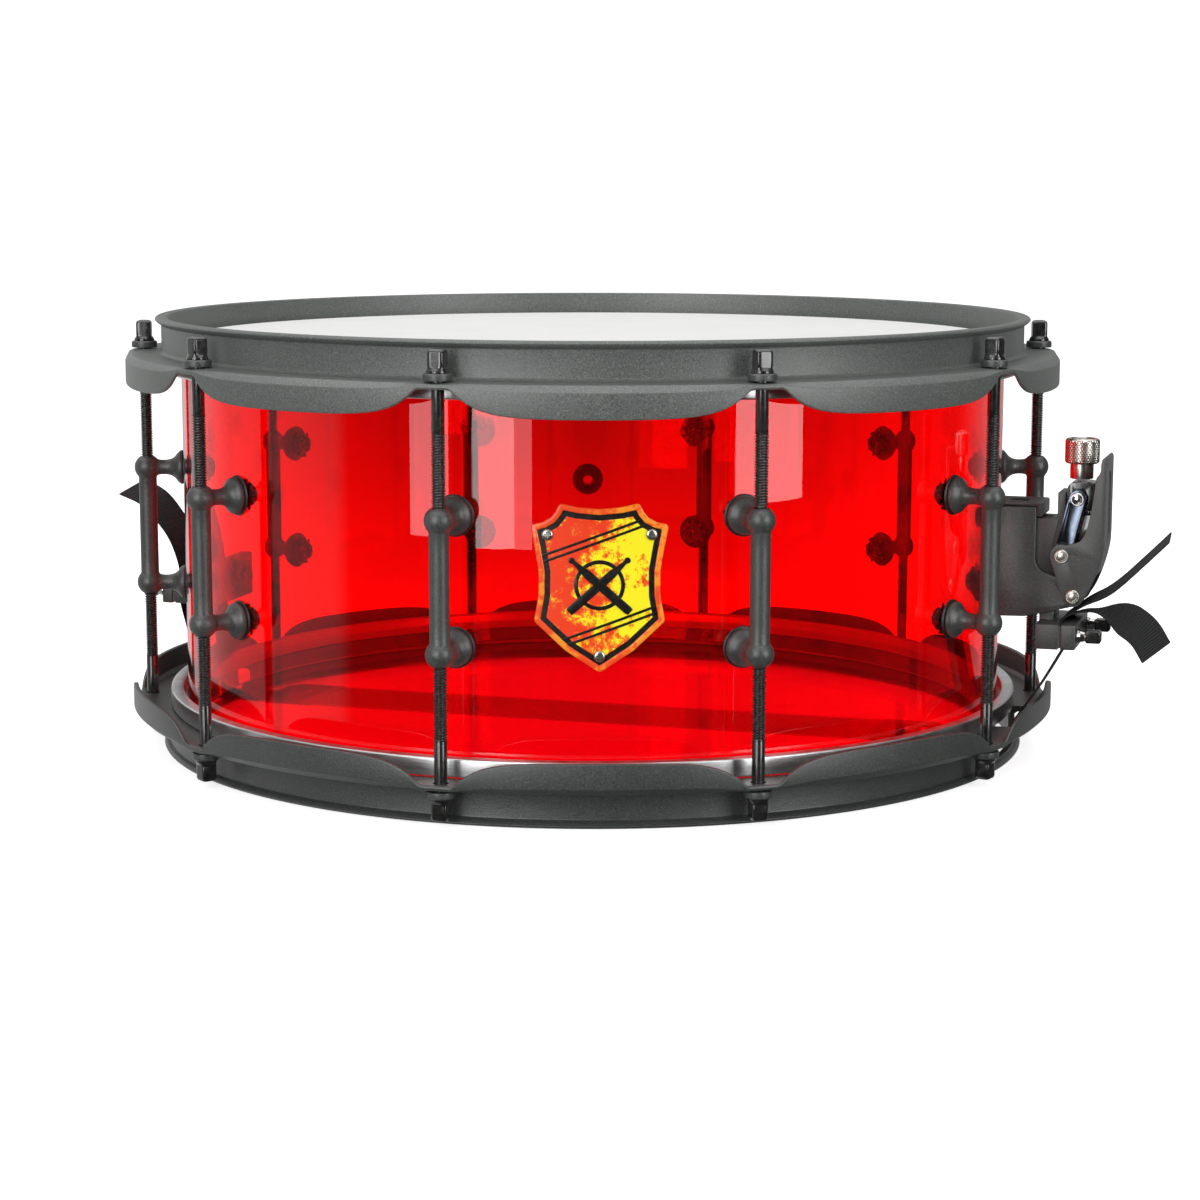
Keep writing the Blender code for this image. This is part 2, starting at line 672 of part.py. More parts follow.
def make_clamp(prefix, angle, span, heights, screw_z, jaw):
    """A clamp plate over a strap, drilled with its jaw for two square-headed screws."""
    inner, outer = span
    place = ring_frame(angle, inner, 0.0, screw_z)
    low = (0.0, -CLAMP_HALF, heights[0] - screw_z)
    high = (outer - inner, CLAMP_HALF, heights[1] - screw_z)
    node = prefix + "_clamp_plate"
    plate = add(node, box_mesh(node, low, high, 0.8), POWDER, place)
    turn = Matrix.Rotation(pi / 2, 4, "Y")
    holes = [ring_frame(angle, inner, y, screw_z) @ turn for y in (-CLAMP_SCREW_Y, CLAMP_SCREW_Y)]
    drill = rods_mesh(prefix + "_screw_holes", holes, CLAMP_HOLE_R, 34.0, 8)
    boolean(plate, helper(drill, Matrix()))
    boolean(jaw, helper(drill, Matrix()))
    mesh = key_screw_mesh(prefix + "_clamp_screw", inner - outer - 6.0)
    for side, y in (("a", -CLAMP_SCREW_Y), ("b", CLAMP_SCREW_Y)):
        place = ring_frame(angle, outer, y, screw_z)
        add(f"{prefix}_clamp_screw_{side}", mesh, BLACK_STEEL, place)


# Butt plate


def make_butt():
    """The butt plate: a tall foot on the shell with a jaw standing out from its lower half."""
    back = BODY_BACK + 0.8
    outline = [(back, BUTT_FOOT_HIGH), (back, BUTT_LOW), (BUTT_FRONT, BUTT_LOW), (BUTT_FRONT, BUTT_HIGH)]
    outline += [(190.0, BUTT_HIGH), (188.0, BUTT_HIGH + 5.0), (186.0, BUTT_FOOT_HIGH)]
    body = add("butt_body", plate_mesh("butt_body", outline, CLAMP_HALF), POWDER, ring_frame(BUTT_ANGLE))
    plate_span = (BUTT_FRONT + STRAP + 2 * GAP, BUTT_PLATE_OUT)
    make_clamp("butt", BUTT_ANGLE, plate_span, (BUTT_LOW, BUTT_HIGH), BUTT_SCREW_Z, body)


# Snares and straps


def make_snare_wires():
    """Strands under the resonant head, soldered to a plate at each end."""
    strand = WIRE_R * 0.9
    form = bmesh.new()
    for i in range(WIRE_COUNT):
        y = (i - (WIRE_COUNT - 1) / 2) * WIRE_PITCH
        centre = Vector((0.0, y, 0.0)) * MM
        size = Vector((2 * WIRE_HALF_LENGTH + 8.0, 2 * strand, 2 * strand)) * MM
        place = Matrix.Translation(centre) @ Matrix.Diagonal((*size, 1.0))
        bmesh.ops.create_cube(form, size=1.0, matrix=place)
    strands = bpy.data.meshes.new("snare_strands")
    form.to_mesh(strands)
    form.free()
    place = ring_frame(STRAINER_ANGLE, 0.0, 0.0, SNARE_Z)
    wires = add("snare_wires", strands, CHROME, place)
    inner, outer = WIRE_HALF_LENGTH, WIRE_HALF_LENGTH + END_PLATE
    for side, (near, far) in (("a", (inner, outer)), ("b", (-outer, -inner))):
        low, high = (near, -END_PLATE_HALF_WIDTH, -1.0), (far, END_PLATE_HALF_WIDTH, 1.0)
        boolean(wires, helper(box_mesh("end_plate_" + side, low, high), place), "UNION")


def ribbon_outline(path, thickness):
    """The outline of a strip of this thickness along a path of (x, z) points."""
    left, right = [], []
    for i, point in enumerate(path):
        before = Vector(path[max(i - 1, 0)])
        after = Vector(path[min(i + 1, len(path) - 1)])
        step = (after - before).normalized()
        side = Vector((-step.y, step.x)) * thickness / 2
        left.append(tuple(Vector(point) + side))
        right.append(tuple(Vector(point) - side))
    return left + right[::-1]


def make_strap(name, angle, path, tails):
    """A ribbon along its path, with its tails joined to it where it leaves the clamp."""
    place = ring_frame(angle)
    half = STRAP_HALF_WIDTH
    strap = add(name, plate_mesh(name, ribbon_outline(path, STRAP), half), RIBBON, place)
    for i, tail in enumerate(tails):
        mesh = plate_mesh(f"{name}_tail_{i}", ribbon_outline(tail, STRAP), half - 0.2 - 0.2 * i)
        boolean(strap, helper(mesh, place), "UNION")


def make_straps():
    clamp_x = CLAMP_SPLIT + GAP + STRAP / 2
    under = SNARE_Z - 1.0 - GAP - STRAP / 2
    start = [(WIRE_HALF_LENGTH + 2.0, under), (176.0, under), (183.2, -86.0), (186.2, -82.0)]
    run = start + [(187.6, -78.0), (189.3, -74.5), (198.4, -61.0), (206.4, -47.0)]
    run += [(clamp_x, -43.0), (clamp_x, -31.2), (209.4, -29.0)]
    upper = [(208.5, -30.2), (212.4, -28.2), (217.6, -24.0), (225.6, -19.6), (231.9, -14.6), (240.8, -5.8)]
    upper += [(250.9, 4.4)]
    lower = [(208.5, -30.3), (212.2, -29.0), (216.8, -26.9), (224.9, -27.0), (232.4, -29.5), (240.9, -35.6)]
    lower += [(246.9, -44.9)]
    make_strap("strainer_strap", STRAINER_ANGLE, run, [upper, lower])
    clamp_x = BUTT_FRONT + GAP + STRAP / 2
    run = start + [(187.2, -76.0), (188.2, -68.0), (191.0, -55.0), (clamp_x, -43.0), (clamp_x, -30.0)]
    run += [(195.0, -24.0), (198.2, -14.0), (203.5, -5.6), (212.0, 3.5), (223.5, 9.0)]
    make_strap("butt_strap", BUTT_ANGLE, run, [])


# Badge


def make_badge():
    """A shield cut from a ring that hugs the shell."""
    section = [(BADGE_IN, BADGE_REACH), (BADGE_OUT, BADGE_REACH)]
    section += [(r, -z) for r, z in reversed(section)]
    badge = add("badge", turned_mesh("badge", section, ROUND_STEPS, closed=True), ENAMEL)
    outline = [(-16.0, 30.5), (-25.0, 23.0), (-22.6, 4.0), (-24.6, -14.0), (0.0, -34.0)]
    outline += [(-x, z) for x, z in reversed(outline[:-1])]
    shield = plate_mesh("badge_outline", outline, 20.0)
    boolean(badge, helper(shield, Matrix.Translation((0.0, -SHELL_R * MM, MID_Z * MM))), "INTERSECT")


make_shell()
make_vent()
make_head("batter_head", 1, COATED)
make_flesh_hoop("batter_flesh_hoop", BATTER_FLESH_LOW, 1)
make_head("resonant_head", -1, CLEAR_FILM)
make_flesh_hoop("resonant_flesh_hoop", RESONANT_FLESH_LOW, -1)
make_hoop("top_hoop", 1)
cut_snare_gates(make_hoop("bottom_hoop", -1))
make_lugs_and_rods()
make_strainer_body()
make_strainer_bracket()
make_slider()
make_yoke()
make_knob()
make_lever()
make_link()
make_pin("lever_pivot_pin", PIVOT, PIVOT_PIN_HALF, 1.0)
make_pin("link_top_pin", LINK_TOP, LINK_PIN_HALF, 0.9)
make_butt()
make_snare_wires()
make_straps()
make_badge()
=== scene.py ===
"""The looks of a snare drum: fine shapes, materials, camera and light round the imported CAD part.

Lengths are in millimetres and become metres through MM. Heights named z are above the shell's mid-height.
Angles are in degrees round the drum, from the front (-Y) towards +X. A bracket on the shell is drawn in its
own frame: x is the distance from the drum's axis, y runs along the shell's circle, and z is up.
"""

import json
from contextlib import contextmanager
from math import cos, exp, pi, radians, sin, tan

import bmesh
import bpy
from mathutils import Matrix, Vector


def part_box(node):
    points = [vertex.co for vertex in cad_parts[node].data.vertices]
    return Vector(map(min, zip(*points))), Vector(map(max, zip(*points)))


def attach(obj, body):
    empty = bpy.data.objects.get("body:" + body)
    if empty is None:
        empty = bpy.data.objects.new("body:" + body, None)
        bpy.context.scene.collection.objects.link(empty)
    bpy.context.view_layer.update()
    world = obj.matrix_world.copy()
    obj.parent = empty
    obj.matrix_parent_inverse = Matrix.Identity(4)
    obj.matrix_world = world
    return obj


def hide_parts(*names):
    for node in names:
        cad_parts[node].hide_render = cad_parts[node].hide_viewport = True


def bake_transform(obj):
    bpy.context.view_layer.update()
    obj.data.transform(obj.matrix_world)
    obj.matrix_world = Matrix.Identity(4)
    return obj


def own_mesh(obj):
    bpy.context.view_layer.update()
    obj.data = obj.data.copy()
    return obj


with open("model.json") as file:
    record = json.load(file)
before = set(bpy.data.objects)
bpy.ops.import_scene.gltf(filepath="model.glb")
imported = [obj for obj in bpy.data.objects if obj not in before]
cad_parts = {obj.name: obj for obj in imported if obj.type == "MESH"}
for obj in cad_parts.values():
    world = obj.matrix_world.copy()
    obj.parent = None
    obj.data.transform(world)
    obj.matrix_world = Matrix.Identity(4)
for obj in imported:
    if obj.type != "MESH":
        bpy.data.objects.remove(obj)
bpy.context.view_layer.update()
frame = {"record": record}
BODY_OF = {
    node: body
    for body, nodes in frame["record"]["behaviour"]["bodies"].items()
    for node in nodes
}

MM = 0.001
WELD = 0.0000002

# Sizes that the CAD part gives
SHELL_LOW, SHELL_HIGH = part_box("shell")
BOTTOM_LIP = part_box("bottom_hoop")[0].z / MM
MID_Z = (SHELL_LOW.z + SHELL_HIGH.z) / 2 / MM
SHELL_R = SHELL_HIGH.x / MM
SHELL_HALF = (SHELL_HIGH.z - SHELL_LOW.z) / 2 / MM
HOOP_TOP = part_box("top_hoop")[1].z / MM - MID_Z
FILM_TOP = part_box("batter_head")[1].z / MM - MID_Z

# Shell and heads
SHELL_WALL = 6.0
BEARING_DROP = 2.2
ROUND = 240
COLLAR_R = SHELL_R + 1.2
COLLAR_DEPTH = 12.0
FILM = 0.3
FLESH_IN = 179.8
FLESH_OUT = 185.2
FLESH_TOP = 74.8
BATTER_FLESH_LOW = 69.8
RESONANT_FLESH_LOW = 67.4

# Hoops
HOOP_WALL_OUT = 185.9
HOOP_WALL_IN = 183.3
LIP_R = 188.7
SKIRT_R = 201.3
PLATE = 2.3
EAR_Z = 77.1
CREASE_Z = 77.5
SCALLOP_DEPTH = 12.8
EAR_FLAT = 5.3
EAR_BLEND = 3.0
SCALLOP_FALL = 9.0
GATE_WIDTH = 46.0
GATE_OUT = 192.0
GATE_LOW = 72.0
GATE_HIGH = 89.2

# Lugs and tension rods
LUG_ANGLES = [18.0 + 36.0 * i for i in range(10)]
LUG_R = 195.0
LUG_HALF = 25.4
LUG_POSTS = (-LUG_HALF, LUG_HALF)
TUBE_R = 3.9
TUBE_BORE_R = 3.0
BALL_R = 5.65
NECK_R = 3.2
FLANGE_R = 7.4
FLANGE_X = SHELL_R + 1.2
SCREW_HOLE_R = 2.6
ROD_R = 2.5
THREAD_R = 2.74
THREAD_PITCH = 1.058
THREAD_DEPTH = 0.7
SHANK_LOW = 58.0
WASHER_R = 5.5
WASHER_LOW = 77.8
WASHER_HIGH = 80.6
KEY_HALF = 3.175
KEY_LOW = 82.6
KEY_TOP = 89.6
EAR_HOLE_R = 3.1

# Throw-off and butt plate
STRAINER_ANGLE = 72.0
BUTT_ANGLE = STRAINER_ANGLE - 180.0
STRAINER_SCREWS = (-22.0, 10.0)
BUTT_SCREWS = (-31.0,)
BODY_BACK = 178.4
BODY_FRONT = 196.4
BODY_TOP = 16.2
BODY_BOTTOM = -30.5
BODY_HALF = 10.6
CHANNEL_HALF = 8.8
CHANNEL_BACK = 181.0
PIVOT = (212.7, -20.5)
LINK_LOW = (207.6, -3.8)
LINK_TOP = (213.3, 20.0)
LEVER_HALF = 12.6
LEVER_INSIDE = 11.0
LEVER_SPINE = 221.8
PIN_R = 1.85
PIN_HOLE_R = PIN_R + 0.3
LINK_HALF = 3.8
LINK_OUT = 10.5
LINK_IN = 8.5
KNOB_X = 213.4
KNOB_R = 7.25
KNOB_LOW = 34.0
KNOB_HIGH = 44.4
KNOB_NECK_R = 4.85
KNOB_NECK_LOW = 27.6
CLAMP_HALF = 20.0
CLAMP_IN = 198.4
CLAMP_JAW = 208.05
CLAMP_FACE = 208.85
CLAMP_OUT = 215.2
CLAMP_HIGH = -31.5
CLAMP_LOW = -42.0
CLAMP_SCREW_Y = 15.6
CLAMP_SCREW_Z = -36.4
BUTT_JAW = 193.65
BUTT_FACE = 194.45
BUTT_PLATE_OUT = 199.6
BUTT_FOOT_HIGH = -22.0
BUTT_HIGH = -31.0
BUTT_LOW = -41.5
BUTT_SCREW_Z = -36.2

# Snares and straps
WIRE_COUNT = 20
WIRE_PITCH = 2.1
WIRE_R = 0.75
WIRE_HALF_LENGTH = 128.0
END_PLATE = 27.0
END_PLATE_HALF_WIDTH = 21.5
SNARE_Z = -(FILM_TOP + 0.35 + WIRE_R)
STRAP_HALF_WIDTH = 12.0
STRAP = 0.7

# Badge and vent
BADGE_RIM = 2.3
BADGE_LINE = 2.1
BADGE_SLANT = 20.0
BADGE_STRIPES = (19.0, 16.5, -16.0, -18.5)
BADGE_SCREWS = ((-19.6, 19.2), (19.6, 19.2), (0.0, -27.2))
VENT_ANGLE = 180.0
VENT_R = 7.8
VENT_HOLE_R = 2.5
VENT_TUBE_R = 4.7

# Camera
CAMERA_AT = (-8.46, -1228.37, 160.15)
CAMERA_PITCH = 9.425
CAMERA_YAW = 0.546
CAMERA_ROLL = 0.07
CAMERA_TURN = -0.4365
LENS = 84.30
SENSOR = 36.0
SHIFT_Y = 0.01836

# Lamps, in metres
LAMP_DISTANCE = 1.7


# Places


def ring_frame(angle, x=0.0, y=0.0, z=0.0):
    """The matrix of a point in the bracket frame at this angle round the shell."""
    turn = Matrix.Rotation(radians(angle - 90.0), 4, "Z")
    return Matrix.Translation((0, 0, MID_Z * MM)) @ turn @ Matrix.Translation(Vector((x, y, z)) * MM)


MIDDLE = Matrix.Translation((0, 0, MID_Z * MM))
UPSIDE_DOWN = Matrix.Rotation(pi, 4, "X")


def lifted(z):
    """The matrix that raises something by z millimetres."""
    return Matrix.Translation((0, 0, z * MM))


def linked(name, data):
    """A new object in the scene."""
    obj = bpy.data.objects.new(name, data)
    bpy.context.scene.collection.objects.link(obj)
    return obj


# Mesh tools


def smooth(mesh, angle=35.0):
    mesh.shade_smooth()
    mesh.set_sharp_from_angle(angle=radians(angle))


@contextmanager
def edited(mesh, angle):
    """Opens a mesh for bmesh tools, then stores it with its faces turned outwards and its edges smoothed."""
    form = bmesh.new()
    form.from_mesh(mesh)
    yield form
    bmesh.ops.recalc_face_normals(form, faces=form.faces)
    form.to_mesh(mesh)
    form.free()
    smooth(mesh, angle)


def mesh_of(name, points, faces, angle=35.0):
    mesh = bpy.data.meshes.new(name)
    mesh.from_pydata([Vector(point) * MM for point in points], [], faces)
    with edited(mesh, angle) as form:
        bmesh.ops.remove_doubles(form, verts=form.verts, dist=WELD)
    return mesh


def loft(name, rows, closed=False, angle=35.0):
    """Rings of equally many points joined in order: a closed round, or a column with capped ends."""
    width, count = len(rows[0]), len(rows)
    faces = []
    for i in range(count if closed else count - 1):
        a, b = i * width, (i + 1) % count * width
        faces += [(a + j, a + (j + 1) % width, b + (j + 1) % width, b + j) for j in range(width)]
    if not closed:
        faces.append(tuple(range(width)))
        faces.append(tuple(range((count - 1) * width, count * width)))
    return mesh_of(name, [point for row in rows for point in row], faces, angle)


def turned(name, section, steps=48, axis="Z", angle=35.0):
    """A closed section of (radius, height) points turned round an axis."""
    rows = []
    for i in range(steps):
        a = 2 * pi * i / steps
        row = [(r * cos(a), r * sin(a), z) for r, z in section]
        if axis == "X":
            row = [(z, x, y) for x, y, z in row]
        if axis == "Y":
            row = [(y, z, x) for x, y, z in row]
        rows.append(row)
    return loft(name, rows, closed=True, angle=angle)


def plate(name, outline, low, high):
    """An outline of (x, z) points as a plate between two values of y."""
    return loft(name, [[(x, y, z) for x, z in outline] for y in (low, high)])


def block(name, low, high):
    corners = [(low[0], low[1]), (high[0], low[1]), (high[0], high[1]), (low[0], high[1])]
    return loft(name, [[(x, y, z) for x, y in corners] for z in (low[2], high[2])])


def bar(name, start, end, radius, sides=24):
    """A round bar between two points."""
    start, end = Vector(start), Vector(end)
    along = (end - start).normalized()
    side = along.orthogonal().normalized()
    other = along.cross(side)
    angles = [2 * pi * i / sides for i in range(sides)]
    ring = [side * radius * cos(a) + other * radius * sin(a) for a in angles]
    return loft(name, [[start + p for p in ring], [end + p for p in ring]])


def arc(centre, radius, start, end, steps):
    """Points on a circle from one angle to another, both ends included."""
    turn = (end - start) / steps
    angles = [radians(start + turn * i) for i in range(steps + 1)]
    return [(centre[0] + radius * cos(a), centre[1] + radius * sin(a)) for a in angles]


def rounded(points, radius, steps=3, closed=True):
    """The outline with each corner rounded off, as far as its sides allow."""
    result = []
    for i, point in enumerate(points):
        if not closed and i in (0, len(points) - 1):
            result.append(tuple(point))
            continue
        here = Vector(point)
        before, after = Vector(points[i - 1]) - here, Vector(points[(i + 1) % len(points)]) - here
        half = max(before.angle(after) / 2, 0.05)
        reach = min(radius / tan(half), 0.45 * before.length, 0.45 * after.length)
        start, end = here + before.normalized() * reach, here + after.normalized() * reach
        for k in range(steps + 1):
            t = k / steps
            result.append(tuple(start * (1 - t) ** 2 + here * (2 * t * (1 - t)) + end * t * t))
    return result


def merged(name, meshes):
    """Several meshes, each with a matrix or none, as one mesh."""
    form = bmesh.new()
    for entry in meshes:
        mesh, place = entry if isinstance(entry, tuple) else (entry, None)
        copy = mesh.copy()
        if place is not None:
            copy.transform(place)
        form.from_mesh(copy)
        bpy.data.meshes.remove(copy)
    result = bpy.data.meshes.new(name)
    form.to_mesh(result)
    form.free()
    return result


def shaped(name, base, cuts=(), joins=(), bevel=0.0, segments=2, angle=35.0):
    """A mesh with others joined to it and cut from it, then its sharp edges rounded."""
    obj = linked(name, base)
    tools = []
    for operation, meshes in (("UNION", joins), ("DIFFERENCE", cuts)):
        for mesh in meshes:
            tools.append(linked("tool", mesh))
            modifier = obj.modifiers.new("boolean", "BOOLEAN")
            modifier.operation = operation
            modifier.object = tools[-1]
            modifier.solver = "EXACT"
    if bevel:
        modifier = obj.modifiers.new("bevel", "BEVEL")
        modifier.width = bevel * MM
        modifier.segments = segments
        modifier.limit_method = "ANGLE"
        modifier.angle_limit = radians(40.0)
        modifier.use_clamp_overlap = True
    bpy.context.view_layer.update()
    graph = bpy.context.evaluated_depsgraph_get()
    result = bpy.data.meshes.new_from_object(obj.evaluated_get(graph))
    for used in [obj, *tools]:
        bpy.data.objects.remove(used)
    result.materials.clear()
    result.name = name
    smooth(result, angle)
    return result


def pair_up(name, mesh, heights):
    """Copies of a mesh at several heights, as one mesh."""
    return merged(name, [(mesh, lifted(z)) for z in heights])


def screw_drills(near, far, z, radius):
    """Drills along x for the two screws of a clamp."""
    drills = [bar("drill", (near, y, z), (far, y, z), radius) for y in (-CLAMP_SCREW_Y, CLAMP_SCREW_Y)]
    return merged("drills", drills)


def paint(mesh, chooser):
    """Gives each face the material number that chooser returns for its centre, in millimetres."""
    for face in mesh.polygons:
        face.material_index = chooser(face.center / MM, face.normal)


# Materials


def add_node(tree, kind, inputs=None, **settings):
    """A new node; each input is a value, or an output to link it to."""
    made = tree.nodes.new(kind)
    for setting, value in settings.items():
        setattr(made, setting, value)
    for socket, value in (inputs or {}).items():
        if isinstance(value, bpy.types.NodeSocket):
            tree.links.new(value, made.inputs[socket])
        else:
            made.inputs[socket].default_value = value
    return made


class Look:
    """A material's node tree, built a node at a time."""

    def __init__(self, name, **values):
        self.material = bpy.data.materials.new(name)
        self.material.use_nodes = True
        self.tree = self.material.node_tree
        self.shader = self.tree.nodes["Principled BSDF"]
        self.place = self.tree.nodes.new("ShaderNodeTexCoord")
        self.at = self.place.outputs["Object"]
        for socket, value in values.items():
            socket = self.shader.inputs[socket.replace("_", " ")]
            socket.default_value = (*value, 1.0) if isinstance(value, tuple) else value

    def node(self, kind, inputs=None, **settings):
        return add_node(self.tree, kind, inputs, **settings)

    def stretched(self, scale):
        return self.node("ShaderNodeMapping", {"Vector": self.at, "Scale": scale}).outputs[0]

    def noise(self, grain, detail=3.0, vector=None, roughness=0.5):
        """Noise with features about this many millimetres across."""
        values = {"Vector": vector or self.at, "Scale": 1.0 / (grain * MM)}
        values.update({"Detail": detail, "Roughness": roughness})
        return self.node("ShaderNodeTexNoise", values).outputs["Fac"]

    def ramp(self, fac, stops):
        """A colour ramp from (place, colour or grey) stops."""
        made = self.node("ShaderNodeValToRGB", {"Fac": fac})
        elements = made.color_ramp.elements
        while len(elements) < len(stops):
            elements.new(0.5)
        for element, (at, colour) in zip(elements, stops):
            element.position = at
            element.color = (*(colour if isinstance(colour, tuple) else [colour] * 3), 1.0)
        return made.outputs["Color"]

    def maths(self, operation, a, b):
        return self.node("ShaderNodeMath", {0: a, 1: b}, operation=operation).outputs[0]

    def blend(self, a, share, b, rest):
        """A weighted sum of two values."""
        return self.maths("ADD", self.maths("MULTIPLY", a, share), self.maths("MULTIPLY", b, rest))

    def bump(self, height, depth, strength=1.0, before=None):
        """Bump of this depth in millimetres."""
        values = {"Height": height, "Distance": depth * MM, "Strength": strength}
        if before is not None:
            values["Normal"] = before
        return self.node("ShaderNodeBump", values).outputs["Normal"]

    def drive(self, socket, source):
        self.tree.links.new(source, self.shader.inputs[socket])

    def drive_colour(self, fac, *stops):
        self.drive("Base Color", self.ramp(fac, stops))

    def drive_roughness(self, fac, low, high):
        self.drive("Roughness", self.ramp(fac, [(0.25, low), (0.75, high)]))


def acrylic_look():
    """Clear red cast acrylic, polished, with the faint waves of a formed tube."""
    look = Look("red_acrylic_polished", Roughness=0.0, IOR=1.49, Transmission_Weight=1.0)
    tint = look.noise(90.0, 2.0)
    look.drive_colour(tint, (0.3, (0.985, 0.0, 0.004)), (0.7, (0.96, 0.0, 0.002)))
    look.drive_roughness(look.noise(22.0, 4.0), 0.0, 0.012)
    look.drive("Normal", look.bump(look.noise(60.0, 1.0), 0.05, 0.15))
    return look.material


def acrylic_edge_look():
    """The machined bearing edges, which keep the cutter's fine marks."""
    look = Look("red_acrylic_machined", IOR=1.49, Transmission_Weight=0.85)
    marks = look.noise(0.5, 3.0, look.stretched((0.15, 0.15, 1.0)))
    look.drive_colour(marks, (0.3, (0.95, 0.02, 0.02)), (0.7, (0.8, 0.01, 0.01)))
    look.drive_roughness(marks, 0.25, 0.45)
    look.drive("Normal", look.bump(marks, 0.02, 0.6))
    return look.material


def powder_look(name, dark, light, rough=0.37):
    """Satin powder coat: a fine orange peel under a sparkle of paler grains."""
    look = Look(name, Metallic=0.0)
    look.shader.inputs["Specular IOR Level"].default_value = 1.0
    grain = look.noise(0.6, 3.0, roughness=0.65)
    cloud = look.noise(26.0, 3.0)
    base = look.ramp(grain, [(0.32, dark), (0.6, light), (0.74, tuple(c * 1.9 for c in light))])
    shade = look.ramp(cloud, [(0.3, (0.86, 0.87, 0.88)), (0.7, (1.0, 1.0, 1.0))])
    tinted = look.node("ShaderNodeMix", {0: 1.0, 6: base, 7: shade}, data_type="RGBA", blend_type="MULTIPLY")
    look.drive("Base Color", tinted.outputs[2])
    look.drive_roughness(grain, rough - 0.07, rough + 0.08)
    peel = look.bump(look.noise(1.5, 2.0), 0.05, 0.6)
    look.drive("Normal", look.bump(grain, 0.1, 1.0, peel))
    return look.material


def gloss_black_look():
    """Black chrome, with smears and tiny scratches."""
    look = Look("black_chrome", Metallic=0.0, Coat_Weight=0.6)
    look.shader.inputs["Specular IOR Level"].default_value = 0.85
    look.shader.inputs["Coat Roughness"].default_value = 0.06
    smear = look.noise(3.0, 4.0)
    look.drive_colour(smear, (0.3, (0.006, 0.006, 0.006)), (0.7, (0.022, 0.022, 0.021)))
    look.drive_roughness(smear, 0.14, 0.3)
    scratch = look.noise(0.35, 2.0, look.stretched((1.0, 1.0, 0.12)))
    look.drive("Normal", look.bump(scratch, 0.01, 0.3))
    return look.material


def black_oxide_look():
    """Oiled black threads and fixings, rubbed a little bright."""
    look = Look("black_oxide_steel", Metallic=0.8)
    rub = look.noise(1.3, 4.0)
    look.drive_colour(rub, (0.35, (0.085, 0.084, 0.082)), (0.75, (0.21, 0.207, 0.2)))
    look.drive_roughness(rub, 0.2, 0.32)
    look.drive("Normal", look.bump(look.noise(0.25, 2.0), 0.01, 0.3))
    return look.material


def chrome_look(name, colour, low, high):
    """Bright plating, with soft wear and a little waviness."""
    look = Look(name, Metallic=1.0)
    wear = look.noise(4.0, 4.0)
    warm = tuple(c * 0.88 for c in colour)
    look.drive_colour(wear, (0.3, colour), (0.7, warm))
    look.drive_roughness(wear, low, high)
    look.drive("Normal", look.bump(look.noise(2.4, 2.0), 0.012, 0.25))
    return look.material


def aluminium_look():
    """A rolled aluminium channel, brushed along its length."""
    look = Look("rolled_aluminium", Metallic=1.0)
    streak = look.noise(0.35, 3.0, look.stretched((0.05, 0.05, 1.0)))
    look.drive_colour(streak, (0.3, (0.72, 0.73, 0.74)), (0.7, (0.9, 0.9, 0.9)))
    look.drive_roughness(streak, 0.28, 0.42)
    look.drive("Normal", look.bump(streak, 0.015, 0.5))
    return look.material


def coated_film_look():
    """White sprayed film: a sandy texture with soft scuffs."""
    look = Look("sprayed_film")
    sand = look.noise(0.7, 4.0, roughness=0.7)
    scuff = look.noise(38.0, 5.0, roughness=0.6)
    look.drive_colour(scuff, (0.3, (0.82, 0.815, 0.8)), (0.7, (0.85, 0.85, 0.84)))
    look.drive_roughness(sand, 0.5, 0.68)
    look.drive("Normal", look.bump(sand, 0.05, 0.6))
    return look.material


def clear_film_look():
    """Clear film with a breath of haze."""
    look = Look("clear_film", IOR=1.2, Transmission_Weight=0.95)
    haze = look.noise(30.0, 4.0)
    look.drive_colour(haze, (0.3, (0.96, 0.96, 0.96)), (0.7, (0.99, 0.99, 0.99)))
    look.drive_roughness(haze, 0.02, 0.1)
    return look.material


def ribbon_look():
    """Black grosgrain: close ribs across the strip and a tighter edge."""
    look = Look("black_grosgrain", Specular_IOR_Level=0.3, Sheen_Weight=0.04, Sheen_Roughness=0.5)
    along = look.place.outputs["UV"]
    values = {"Vector": along, "Scale": 0.29, "Distortion": 0.2, "Detail": 1.0}
    ribs = look.node("ShaderNodeTexWave", values, bands_direction="X").outputs["Fac"]
    values = {"Vector": along, "Scale": 1.1, "Distortion": 0.4, "Detail": 1.0}
    threads = look.node("ShaderNodeTexWave", values, bands_direction="Y").outputs["Fac"]
    weave = look.blend(ribs, 0.75, threads, 0.25)
    fluff = look.noise(0.5, 4.0)
    shade = look.blend(weave, 0.6, fluff, 0.5)
    look.drive_colour(shade, (0.25, (0.004, 0.004, 0.005)), (0.85, (0.03, 0.03, 0.032)))
    look.drive_roughness(fluff, 0.6, 0.85)
    look.drive("Normal", look.bump(weave, 0.3, 0.9))
    return look.material


def rubber_look():
    look = Look("gasket_rubber", Specular_IOR_Level=0.7)
    dust = look.noise(1.2, 4.0)
    look.drive_colour(dust, (0.3, (0.008, 0.008, 0.008)), (0.75, (0.03, 0.03, 0.03)))
    look.drive_roughness(dust, 0.35, 0.55)
    look.drive("Normal", look.bump(look.noise(0.4, 3.0), 0.02, 0.5))
    return look.material


